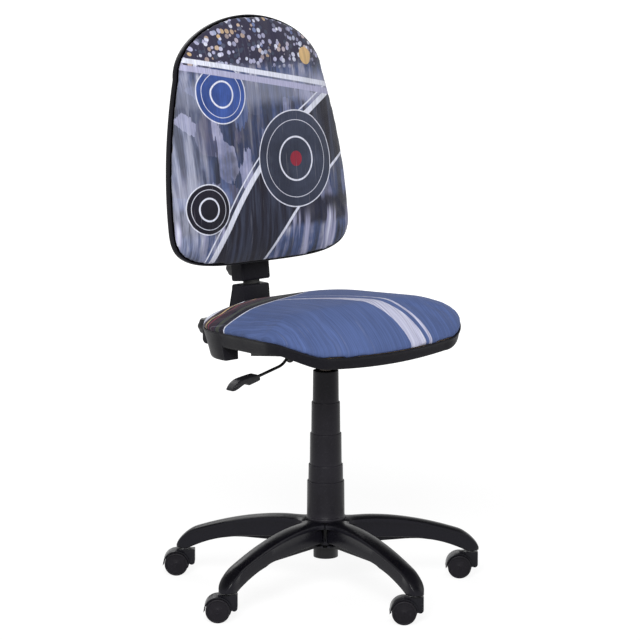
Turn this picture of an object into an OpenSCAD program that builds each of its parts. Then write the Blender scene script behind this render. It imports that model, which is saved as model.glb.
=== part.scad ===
// Child's swivel desk chair: five-star base on twin-wheel castors, gas lift in a
// telescopic cover, upholstered seat in an under-shell, backrest on a sprung L-bar.
// Z points up from the floor, the column lies on the Z axis and the sitter faces -Y.

/* [Star base] */
// Distance from the column to each castor's pivot
castor_circle = 307; // [290:1:325]
// Direction of the first arm, in degrees from +X
first_arm_angle = 46; // [0:1:71]
// Height of the arms where they leave the hub
arm_crest_z = 146; // [140:1:154]
// How far the arms' top has come down at the castor pivots
arm_fall = 51; // [46:0.2:56]
// Distance from the column at which the arms begin to come down
arm_level_r = 79; // [70:1:90]
// Height of the arms' lower edge near the hub
arm_belly_z = 92; // [86:1:97]
// Height of the arms' lower edge at the castors
arm_foot_z = 57.5; // [56.5:0.5:60]
// Width of an arm at the hub
arm_root_w = 42; // [38:1:46]
// Width of an arm at the castor
arm_tip_w = 33; // [29:1:35]
// Depth of the rounded cap along the top of an arm
arm_cap_h = 9; // [7:1:12]
// Wall of the base moulding
base_wall = 3.5; // [2.5:0.5:4.5]
// Outer diameter of the hub's sleeve
hub_d = 64; // [58:1:70]
// Height of the hub's lower rim
hub_bottom_z = 90; // [84:1:96]

/* [Castors] */
// Diameter of a castor wheel
wheel_d = 48; // [46:1:50]
// Width over both wheels of a castor
castor_w = 45; // [42:1:50]
// Distance from the castor's pivot back to its axle
castor_trail = 20; // [16:1:24]
// Direction in which the castors trail, in degrees from +X
trail_angle = 138; // [0:1:359]
// Diameter of a castor's stem
stem_d = 11; // [9:0.5:12]
// Length of the stem inside the base
stem_grip = 18; // [15:1:19]
// Diameter of a castor's axle
axle_d = 6; // [5:0.5:8]

/* [Gas lift] */
// Outer diameter of the stand tube
stand_d = 50; // [46:0.5:51]
// Height of the stand tube's lower end
stand_bottom_z = 65; // [60:1:72]
// Diameter of the chromed cylinder
cylinder_d = 28; // [25:0.5:30]
// Travel of the seat height
lift_travel = 130; // [100:1:132]
// Gap between the lift's top section of cover and the mechanism's socket
cover_gap = 6; // [5:1:14]
// Visible length of each upper cover section
cover_step = 64; // [61:0.5:65]
// Height of the fixed cover section
cover_base_h = 80; // [72:0.5:82]
// Diameter at the top of the first cover section
cover_top_d = 51.5; // [50:0.5:52]
// Growth in diameter from one cover section to the next
cover_d_step = 5.9; // [5.6:0.1:6.4]
// Growth in diameter down each cover section
cover_flare = 1.4; // [0.8:0.1:1.6]
// Wall of the cover sections
cover_wall = 1.7; // [1.4:0.1:1.8]

/* [Seat] */
// Height of the seat shell's rim above the mechanism's socket
seat_rise = 90; // [88:1:97]
// Backward slope of the seat, in degrees
seat_tilt = 2; // [0:0.5:2.5]
// Width of the seat across its front corners
seat_front_w = 488; // [470:1:500]
// Width of the seat where the rear corners begin
seat_rear_w = 445; // [430:1:460]
// Distance from the column forward to the middle of the front edge
seat_front_y = 199; // [190:1:205]
// Distance from the column back to the rear edge
seat_rear_y = 201; // [196:1:202]
// Radius of the front corners in plan
seat_front_r = 94; // [80:1:105]
// Radius of the rear corners in plan
seat_rear_r = 135; // [120:1:145]
// How far the front edge bows out between its corners
seat_bow = 8; // [2:1:14]
// How far the front edge of the seat comes down
seat_drop = 39; // [20:1:42]
// Length over which the front edge comes down
seat_drop_l = 94; // [80:1:110]
// Height of the cushion's crown above the shell's rim
seat_crown = 51; // [40:1:54]
// Thickness of the seat board
seat_board_t = 10; // [8:1:11]
// Depth of the shell's wall along the sides
shell_side_h = 30; // [26:1:34]
// Depth of the shell's wall along the front
shell_front_h = 23; // [19.5:0.5:25]
// Depth of the skirt round the rear
skirt_h = 58; // [45:1:62]
// Width of the skirt's box section
skirt_w = 34; // [24:1:40]
// Wall of the seat shell
shell_wall = 2.6; // [2:0.1:2.8]

/* [Mechanism] */
// Width of the seat plate over its flanges
plate_w = 190; // [180:1:196]
// Thickness of the seat plate's steel
plate_t = 3; // [2:0.5:3.5]
// Depth of the seat plate's flanges
flange_h = 42; // [36:1:46]
// Height of the lower end of the mechanism's socket, with the seat at its highest
socket_bottom_z = 455; // [452:1:458]
// Length of the cone that seats the cylinder
cone_l = 35; // [30:1:36]
// Diameter of the lever's rod
lever_d = 6; // [5:0.5:7]
// Swing of the lever, in degrees
lever_swing = 3; // [2:0.5:3.5]
// Distance from the column back to the tilt pin
tilt_y = 60; // [56:1:66]
// Diameter of the tilt pin
tilt_pin_d = 10; // [8:1:12]

/* [Backrest] */
// Backward slope of the backrest, in degrees
back_recline = 6.9; // [5:0.1:8]
// Height of the backrest's reference point above the seat shell's rim
back_rise = 355; // [350:1:375]
// Distance from the column back to the reference point
back_mid_y = 210; // [206:0.5:214]
// Width of the backrest at its widest
back_w = 473; // [450:1:490]
// Width of the backrest where its dome begins
back_shoulder_w = 387; // [365:1:405]
// Height of the dome's top above the reference point
back_top_h = 250; // [235:1:262]
// Height of the dome's foot above the reference point
back_shoulder_h = 129; // [110:1:140]
// Depth of the widest level below the reference point
back_wide_h = 150; // [135:1:160]
// Depth of the lower edge below the reference point
back_bottom_h = 252; // [248:1:258]
// How far the cushion stands forward of its edge
back_crown = 28; // [20:1:34]
// How far the flanks bow out between the dome and the widest level
flank_bow = 10; // [0:1:14]
// How far the rear shell stands behind the cushion's edge
back_shell_d = 28; // [26:1:32]
// Wall of the rear shell
back_wall = 2.8; // [2:0.1:3]
// Width of the L-bar
bar_w = 40; // [34:1:46]
// Thickness of the L-bar
bar_t = 6; // [5:0.5:7]
// Width of the sleeve that the bar runs in
sleeve_w = 75; // [69:1:80]
// Depth of the sleeve
sleeve_d = 40; // [35:1:42]
// Travel of the backrest's height
back_travel = 60; // [40:1:70]
// Diameter of the clamping knobs
knob_d = 36; // [30:1:40]

/* [Hidden] */
// Names of the five castors, by the place of their arm
CASTORS = ["left_rear", "right_rear", "right_side", "front", "left_side"];

$fn = 64;
// One millimetre, for small steps that have no other name
mm = 1;
// Overrun of every cut past the face that it opens
over = 1 * mm;
// Radial clearance of a shaft that turns or slides in its bore
run_fit = 0.05 * mm;
cover_top_z = socket_bottom_z - cover_gap;
seat_rim_z = socket_bottom_z + seat_rise;
back_mid_z = seat_rim_z + back_rise;
// Clearance between seated or facing pieces
seat_gap = 0.3 * mm;
ARMS = 5;
arm_pitch = 360 / ARMS;

// Plain helpers
function mix(a, b, t) = a + (b - a) * t;
function part(t) = max(0, min(1, t));
function ease(t) = let (s = part(t)) s * s * (3 - 2 * s);
function mirrored(half) = concat(half, [for (i = [len(half) - 2:-1:1]) [-half[i][0], half[i][1]]]);
function arc(centre, r, from, to, steps) = [for (i = [0:steps])
    let (a = mix(from, to, i / steps)) [centre[0] + r * cos(a), centre[1] + r * sin(a)]];
function round_rect(w, d, r) = concat(
    arc([w / 2 - r, d / 2 - r], r, 0, 90, 6), arc([r - w / 2, d / 2 - r], r, 90, 180, 6),
    arc([r - w / 2, r - d / 2], r, 180, 270, 6), arc([w / 2 - r, r - d / 2], r, 270, 360, 6));

// Solid skinned over rings with equal numbers of points, closed by flat ends
module skin(rings) {
    n = len(rings[0]);
    m = len(rings);
    sides = [for (i = [0:m - 2]) for (j = [0:n - 1]) let (k = (j + 1) % n)
        each [[i * n + j, (i + 1) * n + j, (i + 1) * n + k], [i * n + j, (i + 1) * n + k, i * n + k]]];
    ends = [[for (j = [0:n - 1]) j], [for (j = [n - 1:-1:0]) (m - 1) * n + j]];
    polyhedron([for (ring = rings) each ring], concat(sides, ends), convexity = 8);
}

// The same, with both ends closed by a fan of triangles about a middle point
module pillow(rings, first, last) {
    n = len(rings[0]);
    m = len(rings);
    sides = [for (i = [0:m - 2]) for (j = [0:n - 1]) let (k = (j + 1) % n)
        each [[i * n + j, (i + 1) * n + j, (i + 1) * n + k], [i * n + j, (i + 1) * n + k, i * n + k]]];
    fans = [for (j = [0:n - 1]) let (k = (j + 1) % n)
        each [[n * m, j, k], [n * m + 1, (m - 1) * n + k, (m - 1) * n + j]]];
    polyhedron(concat([for (ring = rings) each ring], [first, last]), concat(sides, fans), convexity = 8);
}

// A closed loop of equal sections
module hoop(sections) {
    n = len(sections[0]);
    m = len(sections);
    sides = [for (i = [0:m - 1]) for (j = [0:n - 1]) let (k = (j + 1) % n, g = (i + 1) % m)
        each [[i * n + j, g * n + j, g * n + k], [i * n + j, g * n + k, i * n + k]]];
    polyhedron([for (section = sections) each section], sides, convexity = 10);
}

// A tube or rod standing on z
module tube(z, h, r_out, r_in) {
    translate([0, 0, z]) difference() {
        cylinder(h = h, r = r_out);
        translate([0, 0, -over]) cylinder(h = h + 2 * over, r = r_in);
    }
}

module rod(z, h, r) {
    translate([0, 0, z]) cylinder(h = h, r = r);
}

// Star base

arm_root_r = hub_d / 2 - base_wall;
arm_nose = arm_tip_w / 2 + 3.5 * mm;
arm_tip_r = castor_circle + arm_nose;
arm_nose_r = castor_circle - 25 * mm;
arm_fall_power = 1.765;
belly_start_share = 0.62;
arm_belly_r = castor_circle * belly_start_share;
arm_belly_power = 1.7;
cavity_end_r = castor_circle - 22 * mm;
socket_boss_d = stem_d + 6 * mm;
hub_top_d = hub_d + 20 * mm;
hub_cone_h = 14 * mm;
hub_lip_h = 5 * mm;
hub_lip = 4 * mm;
rib_top_r = 11 * mm;
rib_foot_r = 5 * mm;
hub_top_z = arm_crest_z - 3 * mm;
stem_top_z = arm_foot_z + stem_grip;

// Outline of the arm's cap, from its crest to its lower edge, as shares of its half
// width and of its depth
cap_shares = [[0, 0], [0.4, 0.05], [0.7, 0.19], [0.91, 0.48], [1, 0.8], [0.98, 1]];
// Half widths of the side web and of the rib along its lower edge, as shares
web_share = 0.89;
rib_share = 0.95;
// Where that rib begins, down the arm's depth
rib_top_share = 0.93;
rib_side_share = 0.96;
// Most that the cap may take of the depth, least width of the hollow and its narrowing
cap_limit_share = 0.6;
slot_share = 0.3;
draw_share = 0.96;

function arm_crest(r) = arm_crest_z
    - arm_fall * pow(max(0, r - arm_level_r) / (castor_circle - arm_level_r), arm_fall_power);
function arm_belly(r) = mix(arm_belly_z, arm_foot_z,
    pow(part((r - arm_belly_r) / (castor_circle - 7 * mm - arm_belly_r)), arm_belly_power));
function nose_share(r) = sqrt(1 - pow(part((r - arm_nose_r) / (arm_tip_r - arm_nose_r)), 2));
function arm_half_w(r) = mix(arm_root_w, arm_tip_w, part(r / castor_circle)) / 2
    * sqrt(1 - pow(part((r - castor_circle) / arm_nose), 2));

function arm_ring(r) = let (
        foot = arm_belly(r),
        top = mix(arm_foot_z, arm_crest(r), nose_share(r)),
        w = arm_half_w(r),
        cap = min(arm_cap_h, (top - foot) * cap_limit_share),
        room = part((cavity_end_r - r) / (arm_cap_h * 2)),
        inside = max(w * slot_share, w * web_share - base_wall),
        roof = mix(foot + over, top - base_wall, room),
        half = concat(
            [for (s = cap_shares) [w * s[0], top - cap * s[1]]],
            [[w * web_share, top - cap - 1.5 * mm * nose_share(r)]],
            [[w * web_share, mix(top, foot, rib_top_share)], [w * rib_share, mix(top, foot, rib_side_share)]],
            [[w * rib_share, foot], [inside, foot], [inside * draw_share, roof], [0, roof]]))
    [for (p = mirrored(half)) [r, p[0], p[1]]];

arm_steps = 13;
nose_steps = 7;
nose_sweep = 84;
arm_stations = concat(
    [for (i = [0:arm_steps]) mix(arm_root_r, arm_nose_r, i / arm_steps)],
    [for (i = [1:nose_steps]) mix(arm_nose_r, arm_tip_r, sin(nose_sweep * i / nose_steps))]);

module star_arm() {
    skin([for (i = [len(arm_stations) - 1:-1:0]) arm_ring(arm_stations[i])]);
}

module hub() {
    rod(hub_bottom_z, hub_top_z - hub_bottom_z, hub_d / 2);
    rod(hub_bottom_z, hub_lip_h, hub_d / 2 + hub_lip);
    rod(hub_top_z - base_wall, base_wall, hub_top_d / 2);
    translate([0, 0, hub_top_z - base_wall - hub_cone_h])
        cylinder(h = hub_cone_h, r1 = hub_d / 2, r2 = hub_top_d / 2);
    for (i = [0:ARMS - 1]) rotate([0, 0, first_arm_angle + (i + 0.5) * arm_pitch])
        translate([hub_d / 2, 0, hub_bottom_z])
            cylinder(h = hub_top_z - hub_bottom_z - hub_cone_h, r1 = rib_foot_r, r2 = rib_top_r);
}

module at_arm(i) {
    rotate([0, 0, first_arm_angle + i * arm_pitch]) children();
}

module star_base() {
    color("#232325") difference() {
        union() {
            hub();
            for (i = [0:ARMS - 1]) at_arm(i) {
                star_arm();
                translate([castor_circle, 0, 0])
                    rod(arm_foot_z, stem_grip + 1.5 * mm, socket_boss_d / 2);
            }
        }
        rod(stand_bottom_z, arm_crest_z, stand_d / 2 + run_fit);
        rod(hub_top_z, arm_cap_h, flange_ring_d / 2 + seat_gap);
        for (i = [0:ARMS - 1]) at_arm(i) translate([castor_circle, 0, 0])
            rod(arm_foot_z - over, stem_grip + over + seat_gap, stem_d / 2 + run_fit);
    }
}

// Castors, each drawn with its pivot on the Z axis and its wheels towards -X

wheel_r = wheel_d / 2;
hood_gap = 1 * mm;
hood_wall = 2.2 * mm;
hood_in_r = wheel_r + hood_gap;
hood_out_r = hood_in_r + hood_wall;
hood_top_z = arm_foot_z - 4.5 * mm;
hood_w = castor_w - 7 * mm;
hood_tip_l = 3 * mm;
web_w = 9 * mm;
wheel_gap = 1 * mm;
block_w = stem_d + 12 * mm;
block_front = 18 * mm;
block_foot_z = wheel_r - 3 * mm;
block_l = block_front - (hood_in_r - castor_trail);
wheel_w = castor_w / 2 - web_w / 2 - wheel_gap;
wheel_face = 3.5 * mm;
wheel_edge = 1.6 * mm;
wheel_rim = 4 * mm;
wheel_dish = 1.4 * mm;
wheel_hub_r = axle_d / 2 + 5 * mm;
wheel_pocket = 3 * mm;
stem_foot_z = wheel_r + hood_wall + 2 * mm;
stem_groove = 0.8 * mm;
groove_share = 0.75;

module along_axle(w) {
    rotate([90, 0, 0]) translate([0, 0, -w / 2]) linear_extrude(w) children();
}

module hood_arch() {
    difference() {
        translate([-castor_trail, wheel_r]) circle(hood_out_r);
        translate([-castor_trail, wheel_r]) circle(hood_in_r);
        translate([-castor_trail - 2 * wheel_d, -wheel_d]) square([4 * wheel_d, wheel_d + wheel_r]);
    }
    translate([-castor_trail, wheel_r]) polygon([[-hood_out_r, over], [-hood_out_r - over, -hood_tip_l],
        [-hood_in_r, over]]);
}

module hood_block() {
    difference() {
        union() {
            translate([-castor_trail, hood_top_z - hood_wall])
                square([castor_trail + block_front, hood_wall]);
            translate([block_front - block_l, block_foot_z + block_l / 2])
                square([block_l, hood_top_z - block_foot_z - block_l / 2]);
            translate([block_front - block_l / 2, block_foot_z + block_l / 2]) circle(block_l / 2);
            translate([-castor_trail / 2, wheel_r]) square([castor_trail, hood_top_z - wheel_r]);
        }
        translate([-castor_trail, wheel_r]) circle(hood_in_r);
    }
}

module hood_web() {
    intersection() {
        translate([-castor_trail, wheel_r]) circle(hood_in_r + over);
        translate([-castor_trail - wheel_r / 2, wheel_r / 2]) square([wheel_d, wheel_d]);
    }
}

module castor_hood() {
    color("#1c1c1e") difference() {
        union() {
            along_axle(hood_w) hood_arch();
            along_axle(block_w) hood_block();
            along_axle(web_w) hood_web();
        }
        rod(stem_foot_z, hood_top_z, stem_d / 2 + run_fit);
        translate([-castor_trail, 0, wheel_r]) along_axle(castor_w) circle(axle_d / 2 + run_fit);
    }
}

module castor_stem() {
    color("silver") difference() {
        rod(stem_foot_z + seat_gap, stem_top_z - stem_foot_z - seat_gap, stem_d / 2);
        tube(arm_foot_z + stem_grip * groove_share, stem_groove, stem_d, stem_d / 2 - stem_groove);
    }
}

axle_l = castor_w - 2 * wheel_face - 2 * seat_gap;

module castor_axle() {
    color("silver") translate([-castor_trail, 0, wheel_r]) along_axle(axle_l) circle(axle_d / 2);
}

// One wheel, its outer face towards -Y
module castor_wheel() {
    inner = castor_w / 2 - wheel_w;
    color("#2a2a2c") translate([-castor_trail, 0, wheel_r]) rotate([90, 0, 0]) rotate_extrude() polygon([
        [axle_d / 2 + run_fit, inner], [wheel_hub_r, inner], [wheel_hub_r, inner + wheel_pocket],
        [wheel_r - wheel_rim, inner + wheel_pocket], [wheel_r - wheel_rim, inner],
        [wheel_r - wheel_edge, inner], [wheel_r, inner + wheel_edge], [wheel_r, castor_w / 2 - wheel_edge],
        [wheel_r - wheel_edge, castor_w / 2], [wheel_r - wheel_rim, castor_w / 2],
        [wheel_r - wheel_rim - wheel_dish, castor_w / 2 - wheel_dish], [0, castor_w / 2 - wheel_dish],
        [0, castor_w / 2 - wheel_face], [axle_d / 2 + run_fit, castor_w / 2 - wheel_face]]);
}

// Places a castor's piece at arm i
module at_castor(i) {
    a = first_arm_angle + i * arm_pitch;
    translate([castor_circle * cos(a), castor_circle * sin(a), 0])
        rotate([0, 0, trail_angle - 180]) children();
}

// Gas lift and its cover

cover_lap = 10 * mm;
flange_ring_h = 7 * mm;
flange_ring_d = cover_top_d + 4 * cover_d_step + cover_flare + 4 * mm;
cover_base_z = hub_top_z + seat_gap;
stand_wall = 2 * mm;
stand_top_z = cover_top_z - cover_step - cover_lap - lift_travel - 3 * mm;
stand_floor_z = stand_bottom_z + 4 * mm;
stand_floor_h = 4 * mm;
rod_d = 10 * mm;
rod_neck_d = 8 * mm;
bearing_h = 8 * mm;
bearing_d = 30 * mm;
clip_h = 1.5 * mm;
clip_d = 16 * mm;
cylinder_bottom_z = stand_floor_z + stand_floor_h + bearing_h + lift_travel + 3 * mm;
cylinder_top_z = socket_bottom_z + cone_l;
cylinder_wall = 2.5 * mm;
seal_h = 15 * mm;
head_h = 22 * mm;
cone_shrink = 0.7 * mm;
piston_h = 12 * mm;
piston_clear = 0.1 * mm;
bush_l = 55 * mm;
pin_d = 8 * mm;
// Distance from the release pin out to the lever's bushing
lever_reach = plate_w / 2 + 11 * mm;
pin_out = lever_reach * sin(lever_swing);

// Height of the top of cover section k, counted from 1 at the top
function cover_z(k) = k < 5 ? cover_top_z - (k - 1) * cover_step : cover_base_z + cover_base_h;
function cover_r(k) = (cover_top_d + (k - 1) * cover_d_step) / 2;

// The fourth section is shorter: it ends a lap below the fixed one's top
module cover_section(k) {
    bottom = k < 5 ? cover_z(k + 1) - cover_lap : cover_base_z;
    h = cover_z(k) - bottom;
    r = cover_r(k);
    grow = cover_flare / 2;
    color("#2b2b2d") difference() {
        union() {
            translate([0, 0, bottom]) cylinder(h = h, r1 = r + grow, r2 = r);
            if (k == 5) translate([0, 0, bottom]) cylinder(h = flange_ring_h, r = flange_ring_d / 2);
        }
        translate([0, 0, bottom - over])
            cylinder(h = h + 2 * over, r1 = r + grow - cover_wall, r2 = r - cover_wall);
    }
}

module stand_tube() {
    color("#1f1f20") difference() {
        rod(stand_bottom_z, stand_top_z - stand_bottom_z, stand_d / 2);
        rod(stand_floor_z + stand_floor_h, stand_top_z, stand_d / 2 - stand_wall);
        rod(stand_bottom_z - over, stand_floor_z - stand_bottom_z + over, stand_d / 2 - stand_wall);
        rod(stand_bottom_z, stand_top_z, rod_neck_d / 2 + run_fit);
    }
}

module stand_clip() {
    color("silver") tube(stand_floor_z - clip_h - seat_gap, clip_h, clip_d / 2, rod_neck_d / 2 + run_fit);
}

module thrust_bearing() {
    color("silver") tube(stand_floor_z + stand_floor_h + run_fit, bearing_h - run_fit,
        bearing_d / 2, rod_neck_d / 2 + run_fit);
}

module piston_rod() {
    shoulder_z = stand_floor_z + stand_floor_h + bearing_h + run_fit;
    piston_z = cylinder_bottom_z + seal_h + 2 * mm;
    color("silver") {
        rod(stand_floor_z - clip_h - 1.5 * mm, shoulder_z - stand_floor_z + clip_h + 2 * mm, rod_neck_d / 2);
        rod(shoulder_z, piston_z - shoulder_z + over, rod_d / 2);
        rod(piston_z, piston_h, cylinder_d / 2 - cylinder_wall - piston_clear);
    }
}

module guide_bush() {
    color("#3a3a3c") tube(stand_top_z - bush_l, bush_l, stand_d / 2 - stand_wall - run_fit,
        cylinder_d / 2 + run_fit);
}

module gas_cylinder() {
    color("gainsboro") difference() {
        union() {
            rod(cylinder_bottom_z, socket_bottom_z - cylinder_bottom_z, cylinder_d / 2);
            translate([0, 0, socket_bottom_z])
                cylinder(h = cone_l, r1 = cylinder_d / 2, r2 = cylinder_d / 2 - cone_shrink);
        }
        rod(cylinder_bottom_z + seal_h, cylinder_top_z - head_h - cylinder_bottom_z - seal_h,
            cylinder_d / 2 - cylinder_wall);
        rod(cylinder_bottom_z - over, seal_h + 2 * over, rod_d / 2 + run_fit);
        rod(cylinder_top_z - head_h - over, head_h + 2 * over, pin_d / 2 + run_fit);
    }
}

pin_top_z = cylinder_top_z + pin_out;

module release_pin() {
    color("silver") rod(cylinder_top_z - head_h + 2 * mm, head_h - 2 * mm + pin_out, pin_d / 2);
}

// Seat. Its pieces are drawn about the middle of the shell's rim, then sloped.

module seat_space() {
    translate([0, 0, seat_rim_z]) rotate([-seat_tilt, 0, 0]) children();
}

cushion_sink = 5 * mm;
foam_gap = 0.8 * mm;
board_top = -cushion_sink - foam_gap;
board_under = board_top - seat_board_t;
floor_top = board_under - seat_gap;
floor_under = floor_top - shell_wall;
rim_w = 3 * mm;
lip_w = 6 * mm;
notch_half = sleeve_w / 2 + 10 * mm;
// Inward slope of the shell's wall, as a share of its depth
draft_share = 0.23;
// Size of the shell's middle opening, as shares of the seat's plan
opening_share = 0.56;
opening_depth_share = 0.68;
opening_shift = 14 * mm;
front_corner_y = seat_front_y - seat_bow;
// Length behind the front edge where the shell's wall begins to deepen, and over which it does
wall_start_l = 70 * mm;
wall_ease_l = 60 * mm;
bow_steps = 5;
corner_steps = 6;
side_steps = 5;
side_end_share = 0.99;
rear_steps = 8;
board_steps = 24;

function drop(y) = seat_drop * pow(part((-y - seat_front_y + seat_drop_l) / seat_drop_l), 2);
// Right half of the seat's plan, from the front's middle to the rear's, moved in by d
function seat_half(d) = let (
        fx = seat_front_w / 2 - seat_front_r,
        fy = front_corner_y - seat_front_r,
        rx = seat_rear_w / 2 - seat_rear_r,
        ry = seat_rear_y - seat_rear_r)
    concat(
        [for (i = [0:bow_steps - 1]) let (t = i / bow_steps) [fx * t, d - seat_front_y + seat_bow * t * t]],
        arc([fx, -fy], seat_front_r - d, -90, 0, corner_steps),
        [for (i = [1:side_steps]) let (t = i / side_steps * side_end_share)
            [mix(seat_front_w, seat_rear_w, t) / 2 - d, mix(-fy, ry, t)]],
        arc([rx, ry], seat_rear_r - d, 0, 90, rear_steps),
        [[notch_half + over, seat_rear_y - d], [notch_half, seat_rear_y - d], [0, seat_rear_y - d]]);
function seat_plan(d) = mirrored(seat_half(d));
function seat_ring(d, z, share = 1) = [for (p = seat_plan(d))
    [p[0] * share, p[1] * share, z - drop(p[1] * share)]];

skirt_start_y = seat_rear_y - seat_rear_r;
function in_skirt(p) = p[1] >= skirt_start_y - run_fit && abs(p[0]) > notch_half + over / 2;
function wall_h(p) = in_skirt(p) ? skirt_h
    : mix(shell_front_h, shell_side_h, ease((p[1] + seat_front_y - wall_start_l) / wall_ease_l));
function box_w(p) = in_skirt(p) ? skirt_w : lip_w;

// Section of the shell under one point of the rim, from the rim's outer edge down the
// wall, along the floor to the middle opening and back on the inside
function shell_section(i) = let (
        p = seat_plan(0)[i],
        q = seat_plan(seat_front_r / 2)[i],
        way = [q[0] - p[0], q[1] - p[1]] / (seat_front_r / 2),
        hole = [p[0] * opening_share, p[1] * opening_depth_share + opening_shift],
        h = wall_h(p),
        lean = h * draft_share,
        w = box_w(p),
        path = [[0, 0], [lean, -h], [lean + w, -h], [lean + w, floor_under]],
        back = [[lean + w - shell_wall, floor_top], [lean + w - shell_wall, shell_wall - h],
            [lean + shell_wall, shell_wall - h], [rim_w, 0]],
        z = -drop(p[1]))
    concat(
        [for (s = path) [p[0] + way[0] * s[0], p[1] + way[1] * s[0], z + s[1]]],
        [[hole[0], hole[1], floor_under - drop(hole[1])], [hole[0], hole[1], floor_top - drop(hole[1])]],
        [for (s = back) [p[0] + way[0] * s[0], p[1] + way[1] * s[0], z + s[1]]]);

screw_x = 150 * mm;
screw_y = 50 * mm;
arm_nut_x = 172 * mm;
arm_nut_pitch = 60 * mm;
bolt_x = 68 * mm;
bolt_front_y = -62 * mm;
bolt_rear_y = 102 * mm;
bolt_d = 6 * mm;
nut_barrel_d = 9 * mm;
nut_flange_d = 18 * mm;
nut_flange_h = 1.2 * mm;
nut_bore_d = 6.6 * mm;
screw_d = 3.5 * mm;
screw_head_d = 8 * mm;
screw_head_h = 2.4 * mm;
access_d = 14 * mm;
bolt_spots = [[-bolt_x, bolt_front_y], [bolt_x, bolt_front_y], [-bolt_x, bolt_rear_y], [bolt_x, bolt_rear_y]];
arm_spots = [for (x = [-arm_nut_x, arm_nut_x]) for (y = [-arm_nut_pitch / 2, arm_nut_pitch / 2]) [x, y]];
screw_spots = [for (x = [-screw_x, screw_x]) for (y = [-screw_y, screw_y]) [x, y]];

// Room round the seat's board, and wood left over the ends of the shell's screws
board_slack = 2 * mm;
screw_stop = 2 * mm;

module at_spots(spots) {
    for (s = spots) translate([s[0], s[1], 0]) children();
}

module seat_board() {
    inset = rim_w + shell_wall + board_slack;
    stations = [for (i = [0:board_steps]) mix(-seat_front_y, seat_rear_y, i / board_steps)];
    color("burlywood") seat_space() difference() {
        intersection() {
            rotate([90, 0, 90]) translate([0, 0, -seat_front_w / 2]) linear_extrude(seat_front_w)
                polygon(concat([for (y = stations) [y, board_under - drop(y)]],
                    [for (i = [board_steps:-1:0]) [stations[i], board_top - drop(stations[i])]]));
            translate([0, 0, -seat_front_y]) linear_extrude(2 * seat_front_y) polygon(seat_plan(inset));
        }
        at_spots(concat(bolt_spots, arm_spots)) {
            rod(board_under - over, seat_board_t + 2 * over, nut_barrel_d / 2 + run_fit);
            rod(board_top - nut_flange_h - seat_gap, nut_flange_h + seat_gap + over,
                nut_flange_d / 2 + run_fit);
        }
        at_spots(screw_spots) rod(board_under - over, seat_board_t + over - screw_stop, screw_d / 2);
    }
}

module tee_nuts() {
    color("silver") seat_space() at_spots(concat(bolt_spots, arm_spots)) {
        tube(board_top - nut_flange_h - seat_gap, nut_flange_h, nut_flange_d / 2, nut_bore_d / 2);
        tube(board_under + seat_gap, seat_board_t - 2 * seat_gap - nut_flange_h / 2,
            nut_barrel_d / 2, nut_bore_d / 2);
    }
}

// Cushion profile over its edge: distance in from the rim and height above it
cushion_edge = [[-1.5 * mm, 3 * mm], [-3 * mm, 7.5 * mm], [-3 * mm, 12 * mm],
    [-1 * mm, 16.5 * mm], [3.5 * mm, 21 * mm], [12 * mm, 26 * mm], [27 * mm, 31 * mm]];
// Inner rings of the crown: share of the plan and share of the remaining rise
crown_shares = [[0.8, 0.52], [0.58, 0.83], [0.32, 0.97]];
// Rings of a cushion's underside, as shares of its plan
base_shares = [0.25, 0.5, 0.59, 0.66, 0.73, 0.8, 0.87, 0.94];
back_base_shares = [0.35, 0.7];

module seat_cushion() {
    edge_end = cushion_edge[len(cushion_edge) - 1];
    base_in = rim_w + 2 * mm;
    color("#6f83ad") seat_space() pillow(concat(
        [for (s = base_shares) seat_ring(base_in, -cushion_sink, s)],
        [seat_ring(base_in, -cushion_sink), seat_ring(rim_w + 1.2 * mm, seat_gap),
            seat_ring(0.5 * mm, seat_gap)],
        [for (e = cushion_edge) seat_ring(e[0], e[1])],
        [for (s = crown_shares) seat_ring(edge_end[0], mix(edge_end[1], seat_crown, s[1]), s[0])]),
        [0, 0, -cushion_sink], [0, 0, seat_crown]);
}

module seat_shell() {
    color("#1d1d1f") seat_space() difference() {
        hoop([for (i = [0:len(seat_plan(0)) - 1]) shell_section(i)]);
        at_spots(arm_spots) rod(floor_under - over, shell_wall + 2 * over, access_d / 2);
        at_spots(screw_spots) rod(floor_under - over, shell_wall + 2 * over, screw_d / 2 + run_fit);
    }
}

module shell_screws() {
    color("dimgray") seat_space() at_spots(screw_spots) {
        rod(floor_under - screw_head_h - run_fit, screw_head_h, screw_head_d / 2);
        rod(floor_under - screw_head_h, shell_wall + seat_board_t - 2 * mm, screw_d / 2 - run_fit);
    }
}

// Mechanism under the seat

plate_front_y = -88 * mm;
plate_rear_y = 122 * mm;
plate_under = board_under - seat_gap - plate_t;
bolt_head_d = 12 * mm;
bolt_head_h = 4 * mm;
box_half_w = 34 * mm;
box_half_l = 38 * mm;
box_floor_z = socket_bottom_z + 16 * mm;
socket_wall = 3 * mm;
socket_d = cylinder_d + 2 * socket_wall;
bush_x = -lever_reach;
lever_y = -25 * mm;
lever_in_z = pin_top_z + seat_gap + lever_d / 2;
lever_sag = 2.5 * mm;
lever_pivot_z = lever_in_z - lever_sag;
// Places of the lever's bends: out from the column, then out from the bushing and down
lever_lead = 26 * mm;
lever_neck = 17 * mm;
lever_neck_drop = 2.5 * mm;
lever_knee = 32 * mm;
lever_knee_drop = 16 * mm;
lever_out = 99 * mm;
lever_drop = 31.5 * mm;
bush_d = 20 * mm;
bush_half_l = 14 * mm;
bush_collar_d = 27 * mm;
bush_collar_h = 3 * mm;
bush_flare = 2.4 * mm;
tilt_rise = 33 * mm;
tilt_z = socket_bottom_z + tilt_rise;
spring_d = 22 * mm;
spring_l = 20 * mm;

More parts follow.
